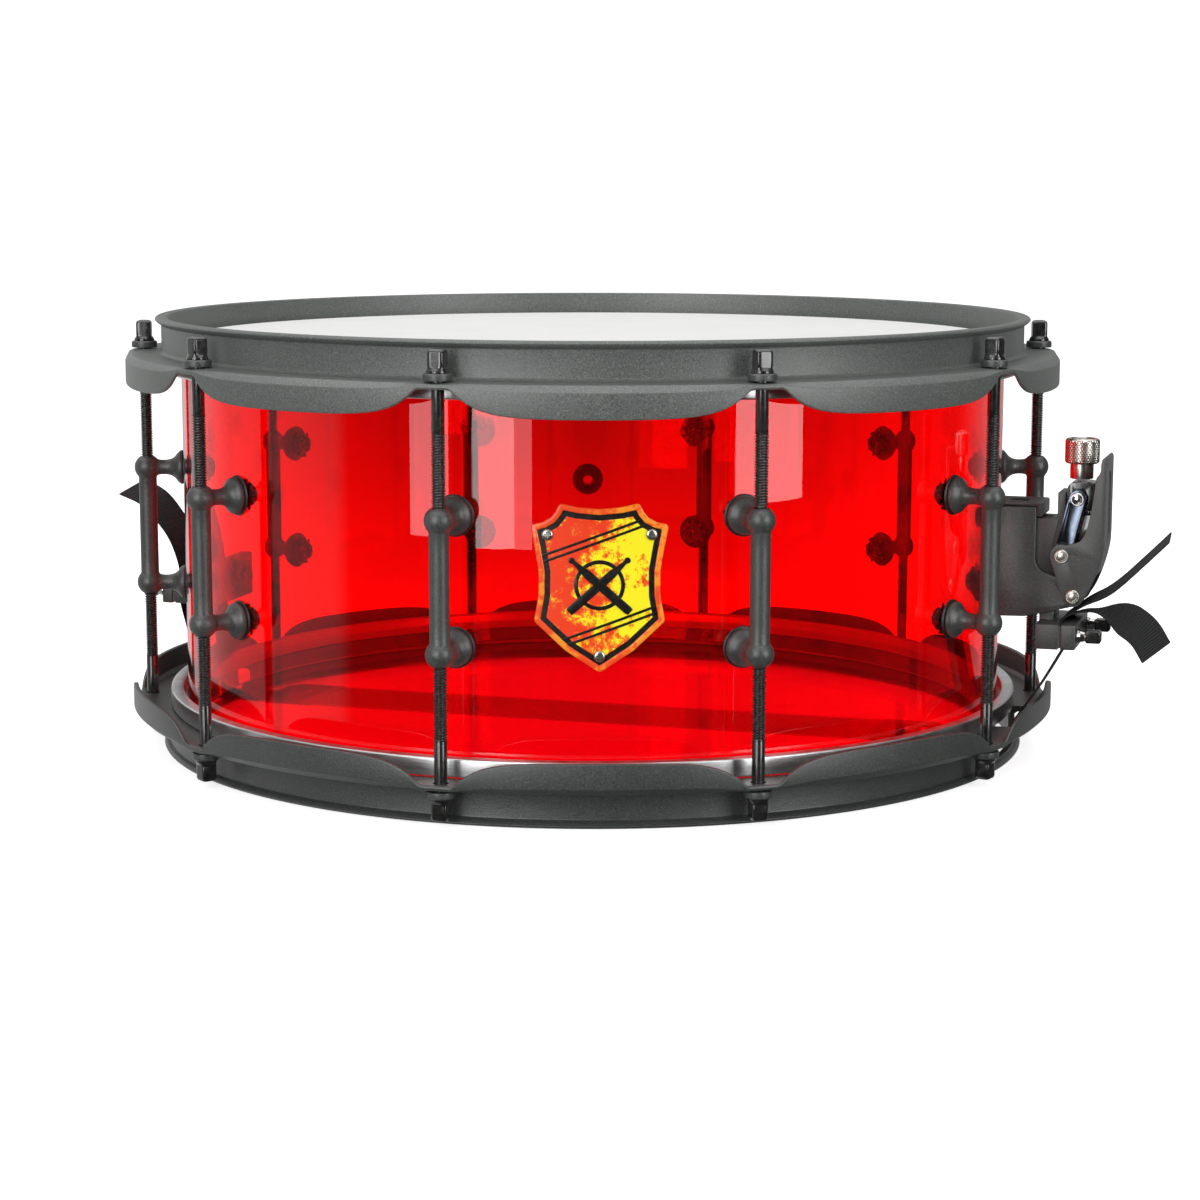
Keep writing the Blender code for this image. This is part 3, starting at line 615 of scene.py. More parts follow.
def enamel_look(name, grain, lean, *colours):
    """Glossy printed enamel under a clear coat: ragged patches, with more of the last colour to the right."""
    look = Look(name, Coat_Weight=0.35)
    look.shader.inputs["Coat Roughness"].default_value = 0.08
    patches = look.noise(grain, 6.0, roughness=0.7)
    speck = look.noise(grain * 0.22, 4.0, roughness=0.7)
    field = look.blend(patches, 0.8, speck, 0.2)
    split = look.node("ShaderNodeSeparateXYZ", {0: look.at})
    field = look.maths("ADD", field, look.maths("MULTIPLY", split.outputs[0], lean / (25.0 * MM)))
    look.drive_colour(field, *zip((0.46, 0.5, 0.54), colours))
    look.drive_roughness(speck, 0.25, 0.4)
    look.drive("Normal", look.bump(look.noise(1.6, 3.0), 0.02, 0.4))
    return look.material


ACRYLIC = acrylic_look()
ACRYLIC_EDGE = acrylic_edge_look()
POWDER = powder_look("satin_powder_coat", (0.052, 0.059, 0.054), (0.128, 0.14, 0.13), 0.4)
# The same coat as POWDER, made darker for the bottom hoop: painted shade, because less light reaches that
# hoop
POWDER_SHADED = powder_look("satin_coat_painted_shade", (0.028, 0.031, 0.029), (0.062, 0.067, 0.063))
POWDER_LUG = powder_look("satin_lug_coat", (0.03, 0.034, 0.031), (0.066, 0.071, 0.067), 0.38)
GLOSS_BLACK = gloss_black_look()
OXIDE = black_oxide_look()
CHROME = chrome_look("bright_chrome", (0.76, 0.755, 0.73), 0.07, 0.2)
NICKEL = chrome_look("satin_nickel", (0.74, 0.72, 0.66), 0.22, 0.36)
BLUED_CHROME = chrome_look("blued_chrome", (0.13, 0.155, 0.2), 0.14, 0.26)
ALUMINIUM = aluminium_look()
SPRAYED = coated_film_look()
CLEAR_FILM = clear_film_look()
RIBBON = ribbon_look()
RUBBER = rubber_look()
# Each enamel has a dark, a middle and a light colour
PAINTS = {
    "orange_enamel": (11.0, 0.03, (0.90, 0.07, 0.006), (0.95, 0.12, 0.008), (1.0, 0.3, 0.012)),
    "black_enamel": (2.0, 0.0, (0.006,) * 3, (0.01, 0.009, 0.008), (0.018, 0.016, 0.014)),
    "flame_enamel": (10.0, 0.12, (0.92, 0.045, 0.005), (0.96, 0.2, 0.006), (1.0, 0.88, 0.008)),
}
ORANGE, BLACK_ENAMEL, MOTTLED = [enamel_look(name, *values) for name, values in PAINTS.items()]


# Pieces


def piece(name, mesh, materials, place=MIDDLE, body="root", replaces=()):
    """A visible piece in place, riding on a body and standing for CAD nodes."""
    obj = linked(name, mesh)
    if not mesh.materials:
        for material in materials:
            mesh.materials.append(material)
    obj.matrix_world = place
    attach(obj, body)
    if replaces:
        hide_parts(*replaces)
    return obj


def stand_in(node, mesh, materials, place=MIDDLE, name=None):
    """A fine piece in the place of one CAD node, on that node's body."""
    return piece(name or node + "_fine", mesh, materials, place, BODY_OF[node], [node])


# Shell


def shell_mesh():
    inner = SHELL_R - SHELL_WALL
    crown = SHELL_R - 1.6
    rows = 16
    top = [(inner, SHELL_HALF - BEARING_DROP), (crown - 0.8, SHELL_HALF - 0.25), (crown, SHELL_HALF)]
    top += [(crown + 0.7, SHELL_HALF - 0.1), (SHELL_R - 0.35, SHELL_HALF - 0.5), (SHELL_R, SHELL_HALF - 1.3)]
    high, low = SHELL_HALF - 1.3, SHELL_HALF - BEARING_DROP
    outside = [(SHELL_R, high - 2 * high * i / rows) for i in range(1, rows)]
    inside = [(inner, -low + 2 * low * i / rows) for i in range(1, rows)]
    section = top + outside + [(r, -z) for r, z in reversed(top)] + inside
    holes = []
    for angle in LUG_ANGLES:
        holes += [(angle, z, SCREW_HOLE_R) for z in LUG_POSTS]
    holes += [(STRAINER_ANGLE, z, SCREW_HOLE_R) for z in STRAINER_SCREWS]
    holes += [(BUTT_ANGLE, z, SCREW_HOLE_R) for z in BUTT_SCREWS]
    holes.append((VENT_ANGLE, 0.0, VENT_TUBE_R + 0.4))
    drills = []
    for angle, z, radius in holes:
        drill = bar("drill", (inner - 3.0, 0.0, z), (SHELL_R + 3.0, 0.0, z), radius)
        drills.append((drill, Matrix.Rotation(radians(angle - 90.0), 4, "Z")))
    mesh = shaped("shell", turned("shell", section, ROUND), cuts=[merged("drills", drills)])
    paint(mesh, lambda at, normal: 1 if abs(at.z) > SHELL_HALF - BEARING_DROP else 0)
    return mesh


def vent_mesh():
    outer, inner = SHELL_R + 0.3, SHELL_R - SHELL_WALL - 0.5
    section = [(VENT_HOLE_R, outer + 2.4), (VENT_R - 1.4, outer + 2.4), (VENT_R, outer + 1.0)]
    section += [(VENT_R, outer), (VENT_TUBE_R, outer), (VENT_TUBE_R, inner), (VENT_R - 1.0, inner)]
    section += [(VENT_R - 1.0, inner - 1.0), (VENT_R - 1.8, inner - 1.6), (VENT_HOLE_R, inner - 1.6)]
    return turned("vent", rounded(section, 0.5, 3), 48, axis="X")


# Heads


def film_mesh(name):
    bend = SHELL_R - 0.8
    foot = FILM_TOP - COLLAR_DEPTH
    radii = [0.0, 40.0, 80.0, 120.0, 150.0, 165.0, 172.0]
    over = [(r, FILM_TOP) for r in radii]
    bend_out = [(172.5, FILM_TOP), (bend, FILM_TOP), (COLLAR_R, FILM_TOP - 2.0), (COLLAR_R, foot)]
    over += rounded(bend_out, 1.6, 5, False)
    under = [(COLLAR_R - 0.5, foot)]
    bend_in = [(COLLAR_R - 0.5, foot + 1.0), (COLLAR_R - 0.5, FILM_TOP - 2.0)]
    bend_in += [(bend - 0.4, FILM_TOP - FILM), (172.5, FILM_TOP - FILM)]
    under += rounded(bend_in, 1.3, 5, False)
    under += [(r, FILM_TOP - FILM) for r in reversed(radii)]
    return turned(name, over + under, ROUND)


def flesh_hoop_mesh(name, low):
    """A rolled channel with the film crimped into the slot along its top."""
    slot = (FLESH_IN + FLESH_OUT) / 2 - 0.3
    section = [(FLESH_IN, FLESH_TOP), (slot - 0.4, FLESH_TOP), (slot - 0.2, FLESH_TOP - 1.0)]
    section += [(slot + 0.2, FLESH_TOP - 1.0), (slot + 0.4, FLESH_TOP), (FLESH_OUT, FLESH_TOP)]
    section += [(FLESH_OUT, low), (FLESH_IN, low)]
    return turned(name, rounded(section, 0.8, 3), ROUND)


# Hoops


def hoop_section(fall):
    """The hoop's closed section; fall is 0 across a rod's ear and nears 1 where the skirt is deepest."""
    low = EAR_Z - SCALLOP_DEPTH
    inner_skirt = SKIRT_R - PLATE
    ear_low = EAR_Z - PLATE
    wall = [(HOOP_WALL_IN, HOOP_TOP), (LIP_R - 0.9, HOOP_TOP), (LIP_R, HOOP_TOP - 1.0)]
    wall += [(LIP_R - 1.3, HOOP_TOP - 2.2), (HOOP_WALL_OUT, HOOP_TOP - 3.0)]
    wall += [(HOOP_WALL_OUT, CREASE_Z + 1.0), (HOOP_WALL_OUT + 1.4, CREASE_Z)]
    ear = [(198.6, EAR_Z), (SKIRT_R - 0.4, EAR_Z - 0.3), (SKIRT_R, ear_low + 0.8)]
    ear += [(SKIRT_R - 0.6, ear_low), (inner_skirt, ear_low), (197.4, ear_low)]
    deep = [(198.4, EAR_Z - 0.1), (SKIRT_R, EAR_Z - 2.8), (SKIRT_R, low)]
    deep += [(inner_skirt, low), (inner_skirt, ear_low - 1.4), (197.4, ear_low)]
    edge = [(a[0] + fall * (b[0] - a[0]), a[1] + fall * (b[1] - a[1])) for a, b in zip(ear, deep)]
    root = [(HOOP_WALL_IN + 0.8, CREASE_Z - PLATE), (HOOP_WALL_IN, CREASE_Z - PLATE + 0.9)]
    return rounded(wall + edge + root, 0.7, 3)


def scallop_fall(arc_length):
    """How far the skirt has dropped at this distance along it from a rod."""
    past = abs(arc_length) - EAR_FLAT
    if past <= 0.0:
        return 0.0
    run = past * past / (2 * EAR_BLEND) if past < EAR_BLEND else past - EAR_BLEND / 2
    return 1.0 - exp(-run / SCALLOP_FALL)


def hoop_mesh(name, side):
    reach = radians(18.0) * SKIRT_R
    offsets = [2.5, 4.4, 5.6, 6.6, 7.6, 8.8, 10.4, 12.4, 15.0, 18.0, 22.0, 27.0, 33.0, 40.0, 48.0, 56.0]
    arcs = [-s for s in reversed(offsets)] + [0.0] + offsets + [reach]
    rows = []
    for angle in LUG_ANGLES:
        for s in arcs:
            a = radians(angle) + s / SKIRT_R
            rows.append([(r * sin(a), -r * cos(a), z * side) for r, z in hoop_section(scallop_fall(s))])
    cuts = []
    for angle in LUG_ANGLES:
        turn = Matrix.Rotation(radians(angle - 90.0), 4, "Z")
        cuts.append((bar("drill", (LUG_R, 0.0, side * 70.0), (LUG_R, 0.0, side * 82.0), EAR_HOLE_R), turn))
    if side < 0:
        half = GATE_WIDTH / 2
        gate = [(-half, -GATE_HIGH), (half, -GATE_HIGH), (half, -GATE_LOW), (-half, -GATE_LOW)]
        rows_of_gate = [[(x, y, z) for y, z in rounded(gate, 3.0, 5)] for x in (HOOP_WALL_IN - 6.0, GATE_OUT)]
        for angle in (STRAINER_ANGLE, BUTT_ANGLE):
            cuts.append((loft("gate", rows_of_gate), Matrix.Rotation(radians(angle - 90.0), 4, "Z")))
    return shaped(name, loft(name, rows, closed=True, angle=40.0), cuts=[merged("cuts", cuts)], angle=32.0)


# Lugs


def lug_mesh():
    """A tube with a ball at each post; the posts flare to flanges that face the shell."""
    mouth = LUG_HALF + BALL_R * sin(radians(56.0))
    half = [(0.0, LUG_HALF - 6.0), (TUBE_BORE_R, LUG_HALF - 6.0), (TUBE_BORE_R, mouth - 0.2)]
    half += [(TUBE_BORE_R + 0.15, mouth)] + arc((0.0, LUG_HALF), BALL_R, 56.0, -41.0, 16)
    half += [(TUBE_R + 0.12, LUG_HALF - 4.15), (TUBE_R, LUG_HALF - 4.6), (TUBE_R, LUG_HALF - 12.0)]
    tube = turned("tube", half + [(r, -z) for r, z in reversed(half)], 56)
    reach = LUG_R - FLANGE_X
    neck = [(NECK_R + 0.7, 12.2), (NECK_R + 0.15, 10.8), (NECK_R, 9.0), (NECK_R + 0.1, 7.2)]
    flare = [(NECK_R + 0.6, 5.4), (4.7, 4.0), (5.9, 3.0), (6.8, 2.2), (FLANGE_R - 0.1, 1.5)]
    flare += [(FLANGE_R, 1.0), (FLANGE_R, 0.4)]
    trumpet = [Vector((r, x)) for r, x in neck + flare]
    post = [(0.0, -TUBE_BORE_R - 0.6)] + [(p.x, p.y - reach) for p in curve_through(trumpet, 4)]
    post += [(FLANGE_R - 0.25, -reach), (0.0, -reach)]
    arm = turned("arm", post, 56, axis="X")
    return shaped("lug", tube, joins=[pair_up("posts", arm, LUG_POSTS)], angle=38.0)


def gasket_mesh():
    """Under each flange: a groove, then a ring that lies on the shell."""
    outer, seat = FLANGE_X - LUG_R - 0.05, SHELL_R + 0.16 - LUG_R
    section = [(2.8, outer), (6.6, outer), (6.7, seat + 0.8), (7.7, seat + 0.76), (8.15, seat + 0.4)]
    section += [(8.2, seat), (2.8, seat)]
    ring = turned("gasket", rounded(section, 0.12, 2), 48, axis="X")
    return pair_up("gaskets", ring, LUG_POSTS)


def star_washer_mesh(x, inner, outer, teeth=9):
    """A lock washer with twisted outer teeth, lying across the x axis."""
    rows = []
    steps = teeth * 6
    root = outer - 1.9
    for i in range(steps):
        phase = i % 6
        radius = outer if phase in (1, 2, 3) else root
        twist = {1: -0.35, 2: 0.0, 3: 0.35}.get(phase, 0.0)
        a = 2 * pi * i / steps
        ring = [(inner, -0.35), (root, -0.35), (radius, -0.3 + twist), (radius, 0.3 + twist)]
        ring += [(root, 0.35), (inner, 0.35)]
        rows.append([(x + h, r * cos(a), r * sin(a)) for r, h in ring])
    return loft("star_washer", rows, closed=True, angle=25.0)


def pan_screw_mesh(seat, head_r, head, shank_r, tip):
    """A cross-headed screw along x: its head stands inwards from its seat, its shank runs out to its tip."""
    section = [(head_r, seat - 0.1)]
    for a in [radians(10 * i) for i in range(9)]:
        section.append((head_r * cos(a) ** 0.7, seat - 0.5 - (head - 0.5) * sin(a)))
    section += [(0.0, seat - head), (0.0, tip)]
    section += [(shank_r - 0.3, tip), (shank_r, tip - 0.4), (shank_r, seat - 0.1)]
    base = turned("screw", section, 32, axis="X")
    low, deep = seat - head - 1.0, seat - head * 0.42
    arm, half = head_r * 0.55, 0.42
    cross = [block("slot", (low, -y, -z), (deep, y, z)) for y, z in ((arm, half), (half, arm))]
    return shaped("screw", base, cuts=cross, angle=30.0)


def fixing_mesh(screw_tip):
    """A lock washer and its screw, seated on the shell's inside; x is the distance from the drum's axis."""
    seat = SHELL_R - SHELL_WALL - 0.4
    washer = star_washer_mesh(seat - 0.4, 2.9, 6.4)
    return merged("fixing", [washer, pan_screw_mesh(seat - 0.9, 4.4, 3.2, 2.35, screw_tip)])


# Tension rods


def superellipse(half, z, squareness, count=40):
    """A ring at height z that goes from round (2) to square (10 and up)."""
    ring = []
    for i in range(count):
        a = 2 * pi * (i + 0.5) / count
        size = (abs(cos(a)) ** squareness + abs(sin(a)) ** squareness) ** (-1.0 / squareness)
        ring.append((half * size * cos(a), half * size * sin(a), z))
    return ring


def thread_mesh(radius, depth, pitch, low, high, sides=20):
    """A single-start thread; each row of points follows the helix, so that the crest is clean."""
    profile = [radius, radius - depth * 0.15, radius - depth, radius - depth * 0.85]
    count = int((high - low) / pitch) * len(profile)
    turn = len(profile)
    points = []
    for k in range(count + 1):
        for j in range(sides):
            a = 2 * pi * j / sides
            r = profile[k % turn]
            points.append((r * cos(a), r * sin(a), low + pitch * (k / turn + j / sides)))
    faces = []
    for k in range(count):
        for j in range(sides - 1):
            a, b = k * sides + j, (k + 1) * sides + j
            faces.append((a, a + 1, b + 1, b))
        if k + turn + 1 <= count:
            a, b = k * sides + sides - 1, (k + 1) * sides + sides - 1
            c, d = (k + turn) * sides, (k + turn + 1) * sides
            faces.append((a, c, d, b))
    mesh = mesh_of("thread", points, faces)
    with edited(mesh, 60.0) as form:
        bmesh.ops.holes_fill(form, edges=[edge for edge in form.edges if edge.is_boundary], sides=0)
    return mesh


def rod_mesh():
    """A tension rod: thread, plain shank, collar, cone and square key with a domed end."""
    thread = thread_mesh(THREAD_R, THREAD_DEPTH, THREAD_PITCH, LUG_HALF - 3.0, SHANK_LOW + 0.4)
    steps = [(SHANK_LOW - 0.5, ROD_R - 0.6, 2), (SHANK_LOW, ROD_R - 0.1, 2), (SHANK_LOW + 0.4, ROD_R, 2)]
    steps += [(WASHER_HIGH + 0.06, ROD_R, 2)]
    steps += [(WASHER_HIGH + 0.06, 4.1, 2), (WASHER_HIGH + 0.2, 4.3, 2), (WASHER_HIGH + 0.75, 4.3, 2)]
    steps += [(WASHER_HIGH + 1.05, 4.1, 2.1), (KEY_LOW - 0.5, 3.75, 2.6), (KEY_LOW - 0.1, 3.4, 3.8)]
    steps += [(KEY_LOW + 0.3, KEY_HALF, 6), (KEY_LOW + 0.7, KEY_HALF, 9)]
    for drop, shrink, power in ((1.6, 0.0, 9), (0.9, 0.12, 8), (0.4, 0.45, 6), (0.1, 1.0, 4), (0.0, 1.7, 3)):
        steps.append((KEY_TOP - drop, KEY_HALF - shrink, power))
    head = loft("head", [superellipse(half, z, power) for z, half, power in steps], angle=42.0)
    rod = merged("tension_rod", [thread, head])
    paint(rod, lambda at, normal: 0 if at.z > SHANK_LOW - 0.2 else 1)
    return rod


def rod_washer_mesh():
    section = [(2.7, WASHER_LOW), (WASHER_R, WASHER_LOW), (WASHER_R, WASHER_HIGH - 0.5)]
    section += [(WASHER_R - 0.5, WASHER_HIGH), (2.7, WASHER_HIGH)]
    return turned("rod_washer", rounded(section, 0.25, 3), 40)


def make_lugs_and_rods():
    lug, gaskets, rod, washer = lug_mesh(), gasket_mesh(), rod_mesh(), rod_washer_mesh()
    fixings = pair_up("lug_fixings", fixing_mesh(FLANGE_X - 0.1), LUG_POSTS)
    for i, angle in enumerate(LUG_ANGLES):
        number = f"{i + 1:02d}"
        place = ring_frame(angle, LUG_R)
        stand_in("lug_" + number, lug, [POWDER_LUG], place)
        piece(f"lug_{number}_gaskets", gaskets, [RUBBER], place)
        piece(f"lug_{number}_fixings", fixings, [OXIDE], ring_frame(angle))
        for side, turn in (("top", Matrix()), ("bottom", UPSIDE_DOWN)):
            node, at = f"{side}_tension_rod_{number}", place @ turn
            stand_in(node, rod, [GLOSS_BLACK, OXIDE], at)
            piece(f"{side}_rod_washer_{number}", washer, [POWDER_LUG], at, BODY_OF[node])


# Throw-off


def pin_bar(at, radius, half=40.0):
    return bar("pin_hole", (at[0], -half, at[1]), (at[0], half, at[1]), radius)


def strainer_body_mesh():
    corner = [(BODY_FRONT, BODY_TOP), (BODY_BACK, BODY_TOP), (BODY_BACK, BODY_BOTTOM)]
    outline = rounded(corner, 0.8, 3, False)
    outline += [(BODY_BACK + 14.0, BODY_BOTTOM + 0.4), (PIVOT[0] - 3.0, PIVOT[1] - 5.4)]
    outline += arc(PIVOT, 4.6, -90.0, 80.0, 14)
    outline += [(208.6, -14.2), (206.0, -12.9)] + arc((BODY_FRONT + 6.5, -5.2), 6.5, 262.0, 180.0, 10)
    low, high = (CHANNEL_BACK, -CHANNEL_HALF, BODY_BOTTOM - 10.0), (PIVOT[0] + 10.0, CHANNEL_HALF, 30.0)
    cuts = [block("channel", low, high), pin_bar(PIVOT, PIN_HOLE_R)]
    base = plate("body", outline, -BODY_HALF, BODY_HALF)
    return shaped("strainer_body", base, cuts, bevel=0.55, segments=3)


def strainer_bracket_mesh():
    top, low, hook = BODY_TOP + 1.8, BODY_TOP + 0.4, 12.0
    inner, outer = BODY_FRONT + 0.3, BODY_FRONT + 2.6
    outline = [(BODY_BACK, top), (BODY_BACK, low), (inner, low), (inner, hook), (outer, hook), (outer, top)]
    mesh = plate("bracket", rounded(outline, 0.9, 4), -BODY_HALF, BODY_HALF)
    window = block("window", (184.0, -4.5, 10.0), (192.0, 4.5, 24.0))
    return shaped("strainer_bracket", mesh, [window], bevel=0.35)


def jaw_pads(jaw, face, low, high):
    """Shoulders at both ends of a jaw, which close its gap beside the strap."""
    pads = []
    for side in (-1, 1):
        near, far = sorted((side * (STRAP_HALF_WIDTH + 0.8), side * (CLAMP_HALF - 0.5)))
        pads.append(block("pad", (jaw - 0.4, near, low + 0.6), (face - 0.06, far, high - 0.6)))
    return pads


def slider_mesh():
    half = CHANNEL_HALF - 0.4
    outline = [(184.0, 11.4), (184.0, -29.0), (CLAMP_IN, -29.0), (CLAMP_IN, CLAMP_LOW)]
    outline += [(CLAMP_JAW, CLAMP_LOW), (CLAMP_JAW, CLAMP_HIGH), (204.5, CLAMP_HIGH), (204.5, -27.0)]
    outline += [(200.0, -25.0), (200.0, -14.0)]
    outline += [(204.9, -12.0), (204.9, -3.0), (208.2, -1.6), (208.2, 22.4), (204.9, 22.4), (204.9, 11.4)]
    base = plate("slider", outline, -half, half)
    jaw = block("jaw", (CLAMP_IN, -CLAMP_HALF, CLAMP_LOW), (CLAMP_JAW, CLAMP_HALF, CLAMP_HIGH))
    slot = block("slot", (186.5, -2.2, 9.5), (202.0, 2.2, 20.0))
    cuts = [screw_drills(190.0, 230.0, CLAMP_SCREW_Z, 2.1), slot]
    body = shaped("strainer_slider", base, cuts, [jaw], bevel=0.6, segments=3)
    return merged("strainer_slider", [body, *jaw_pads(CLAMP_JAW, CLAMP_FACE, CLAMP_LOW, CLAMP_HIGH)])


def yoke_mesh():
    """The block that the link hangs from, with the nut of the knob's screw."""
    x, z = LINK_TOP
    outline = [(x - 4.6, z - 5.4), (x + 6.4, z - 5.4), (x + 6.4, z + 6.4), (x - 4.6, z + 6.4)]
    base = plate("yoke", rounded(outline, 2.6, 6), -7.6, 7.6)
    nut = bar("bore", (KNOB_X, 0.0, z), (KNOB_X, 0.0, z + 12.0), 2.2)
    return shaped("adjuster_yoke", base, [nut, pin_bar(LINK_TOP, PIN_HOLE_R)], bevel=0.5)


def knurl_mesh(radius, low, high, depth=0.36, count=38, step=1.8):
    """A band of diamond points, between plain chamfered rims."""
    columns, per = count * 4, 4
    levels = int((high - low - 1.6) / (step / per))
    start = (low + high) / 2 - levels * step / per / 2

    def ring(r, z):
        return [(r * cos(2 * pi * j / columns), r * sin(2 * pi * j / columns), z) for j in range(columns)]

    rows = [ring(radius - 0.9, low), ring(radius - 0.35, low + 0.45)]
    for k in range(levels + 1):
        row = []
        for j in range(columns):
            u, v = j / 4 + k / per, j / 4 - k / per
            near = max(abs(u - round(u)), abs(v - round(v))) * 2
            r = radius - depth * near
            a = 2 * pi * j / columns
            row.append((r * cos(a), r * sin(a), start + k * step / per))
        rows.append(row)
    rows += [ring(radius - 0.35, high - 0.45), ring(radius - 0.9, high), ring(radius - 2.0, high)]
    rows += [ring(radius - 2.3, high - 0.5), ring(2.4, high - 0.5), ring(2.1, high - 0.1)]
    return loft("knurl", rows, angle=24.0)


def knob_mesh():
    """A knurled knob on a smooth neck."""
    top = KNOB_LOW + 0.2
    neck = [(KNOB_NECK_R, top), (KNOB_NECK_R, KNOB_NECK_LOW), (0.0, KNOB_NECK_LOW), (0.0, top)]
    body = turned("neck", rounded(neck, 0.4, 3), 48)
    return merged("tension_knob", [knurl_mesh(KNOB_R, KNOB_LOW, KNOB_HIGH), body])


def lever_mesh():
    """The throw lever: a folded channel, pivoted at its foot, with an eye where the link is pinned."""
    back = [(216.4, -22.9), (218.9, -18.8), (221.0, -14.0), (222.7, -9.0), (224.0, -4.0), (224.8, 0.6)]
    back += [(225.0, 5.0)]
    tip = [(225.0, 35.6), (224.8, 36.9), (224.0, 37.6), (223.2, 36.9), (222.8, 35.0), (222.7, 32.4)]
    tip += [(222.2, 30.8)]
    side = [(221.1, 29.6), (220.7, 27.0), (220.0, 20.6), (219.1, 14.4), (217.9, 8.6), (216.4, 4.6)]
    side += [(214.8, 2.6)]
    outline = arc(PIVOT, 4.4, 200.0, 320.0, 10)
    for run in (back, tip, side):
        outline += [tuple(p) for p in curve_through([Vector(point) for point in run], 4)]
    outline += [(213.2, 1.8), (211.4, 1.5)] + arc(LINK_LOW, 4.9, 68.0, 205.0, 12)
    base = plate("lever", outline, -LEVER_HALF, LEVER_HALF)
    hollow = rounded([(190.0, -60.0), (LEVER_SPINE, -60.0), (LEVER_SPINE, 60.0), (190.0, 60.0)], 1.0, 2)
    recess = arc((0.0, 26.0), 5.2, 0.0, 180.0, 12) + arc((0.0, 6.0), 5.2, 180.0, 360.0, 12)
    press = loft("press", [[(x, y, z) for y, z in recess] for x in (224.5, 230.0)])
    cuts = [plate("hollow", hollow, -LEVER_INSIDE, LEVER_INSIDE), pin_bar(PIVOT, PIN_HOLE_R)]
    cuts += [pin_bar(LINK_LOW, PIN_R + 0.2), press]
    return shaped("throw_lever", base, cuts, bevel=0.55, segments=3)


def lever_rib_mesh():
    """The folded rib inside the lever, between its side plates and clear of the link; it is black as painted
    shade.
    """
    outline = [(LEVER_SPINE + 0.4, 3.0), (LEVER_SPINE + 0.4, 13.6), (216.6, 13.6), (215.2, 8.0), (214.0, 3.0)]
    return shaped("lever_rib", plate("rib", outline, -LEVER_INSIDE - 0.2, LEVER_INSIDE + 0.2), bevel=0.3)


def rivet_mesh(at, half, core=1.85, ring=2.9):
    """A rivet along y: a domed end inside a thin raised ring at each side."""
    inner = half - 1.0
    end = [(core - 0.05, inner), (ring, inner), (ring, half - 0.45), (ring - 0.25, half - 0.2)]
    end += [(core + 0.55, half - 0.2), (core + 0.3, half - 0.55), (core, half - 0.5)]
    end += [(core - 0.3, half - 0.12), (core * 0.5, half), (0.0, half)]
    section = end[::-1] + [(r, -y) for r, y in end]
    mesh = turned("rivet", section, 40, axis="Y")
    mesh.transform(Matrix.Translation(Vector((at[0], 0.0, at[1])) * MM))
    return mesh


def link_mesh():
    """Two bright side plates with a rolled edge, joined by a web that is dark as painted shade."""
    top, low = Vector(LINK_TOP), Vector(LINK_LOW)
    along = (low - top).normalized()
    lean = 90.0 + along.angle_signed(Vector((1.0, 0.0))) * 180.0 / pi
    outline = arc(LINK_TOP, LINK_HALF, lean, lean + 180.0, 14)
    outline += arc(LINK_LOW, LINK_HALF, lean + 180.0, lean + 360.0, 14)
    plates = [plate("side", outline, *sorted((side * LINK_IN, side * LINK_OUT))) for side in (-1, 1)]
    across = Vector((-along.y, along.x))
    if across.x < 0:
        across = -across
    near, far = low - along * 4.5, top + along * 8.4
    corners = [near + across * 1.4, near + across * LINK_HALF, far + across * LINK_HALF, far + across * 1.4]
    web = plate("web", [tuple(c) for c in corners], -LINK_IN - 0.2, LINK_IN + 0.2)
    web = shaped("web", web, bevel=0.3)
    # The web takes the dark oxide as painted shade, where the lever shades it
    paint(web, lambda at, normal: 1)
    cuts = [pin_bar(LINK_TOP, PIN_HOLE_R), pin_bar(LINK_LOW, PIN_HOLE_R)]
    link = shaped("strainer_link", plates[0], cuts, [plates[1]], bevel=0.35, segments=3)
    edge = [top + along * 2.0 - across * LINK_HALF, low - along * 4.0 - across * LINK_HALF]
    edge += [point + across * 1.25 for point in reversed(edge)]
    flanges = []
    for face in (-LINK_OUT, LINK_OUT):
        flange = plate("flange", rounded([tuple(c) for c in edge], 0.5, 3), face - 0.4, face + 0.4)
        flanges.append(shaped("flange", flange, bevel=0.2))
    return merged("strainer_link", [link, web, *flanges])


def clamp_plate_mesh(inner, outer, low, high, screw_z):
    base = block("clamp_plate", (inner, -CLAMP_HALF, low), (outer, CLAMP_HALF, high))
    drills = screw_drills(inner - 3.0, outer + 3.0, screw_z, 2.3)
    return shaped("clamp_plate", base, [drills], bevel=0.8, segments=4)


def clamp_screw_mesh(inner, outer):
    """A key screw along x on a bright conical collar; x = 0 is the clamp plate's face."""
    collar = [(0.3, 0.0), (3.1, 0.0), (3.1, 0.6), (2.6, 1.4), (2.2, 3.2), (2.5, 3.6), (2.5, 4.0), (0.3, 4.0)]
    bright = turned("collar", rounded(collar, 0.25, 2), 32, axis="X")
    bright.transform(Matrix.Translation((0.3 * MM, 0, 0)))
    steps = [(3.9, 2.35, 6), (4.3, 2.7, 8), (9.2, 2.7, 9), (9.8, 2.5, 7), (10.2, 1.9, 4)]
    rings = [superellipse(half, x, power) for x, half, power in steps]
    key = loft("key", [[(x, y, z) for y, z, x in ring] for ring in rings], angle=40.0)
    tip = inner - outer - 6.0
    shank = turned("shank", [(0.0, 0.4), (1.8, 0.4), (1.8, tip), (0.0, tip)], 20, axis="X")
    mesh = merged("clamp_screw", [bright, key, shank])
    paint(mesh, lambda at, normal: 0 if at.x > 4.05 else 1)
    return mesh


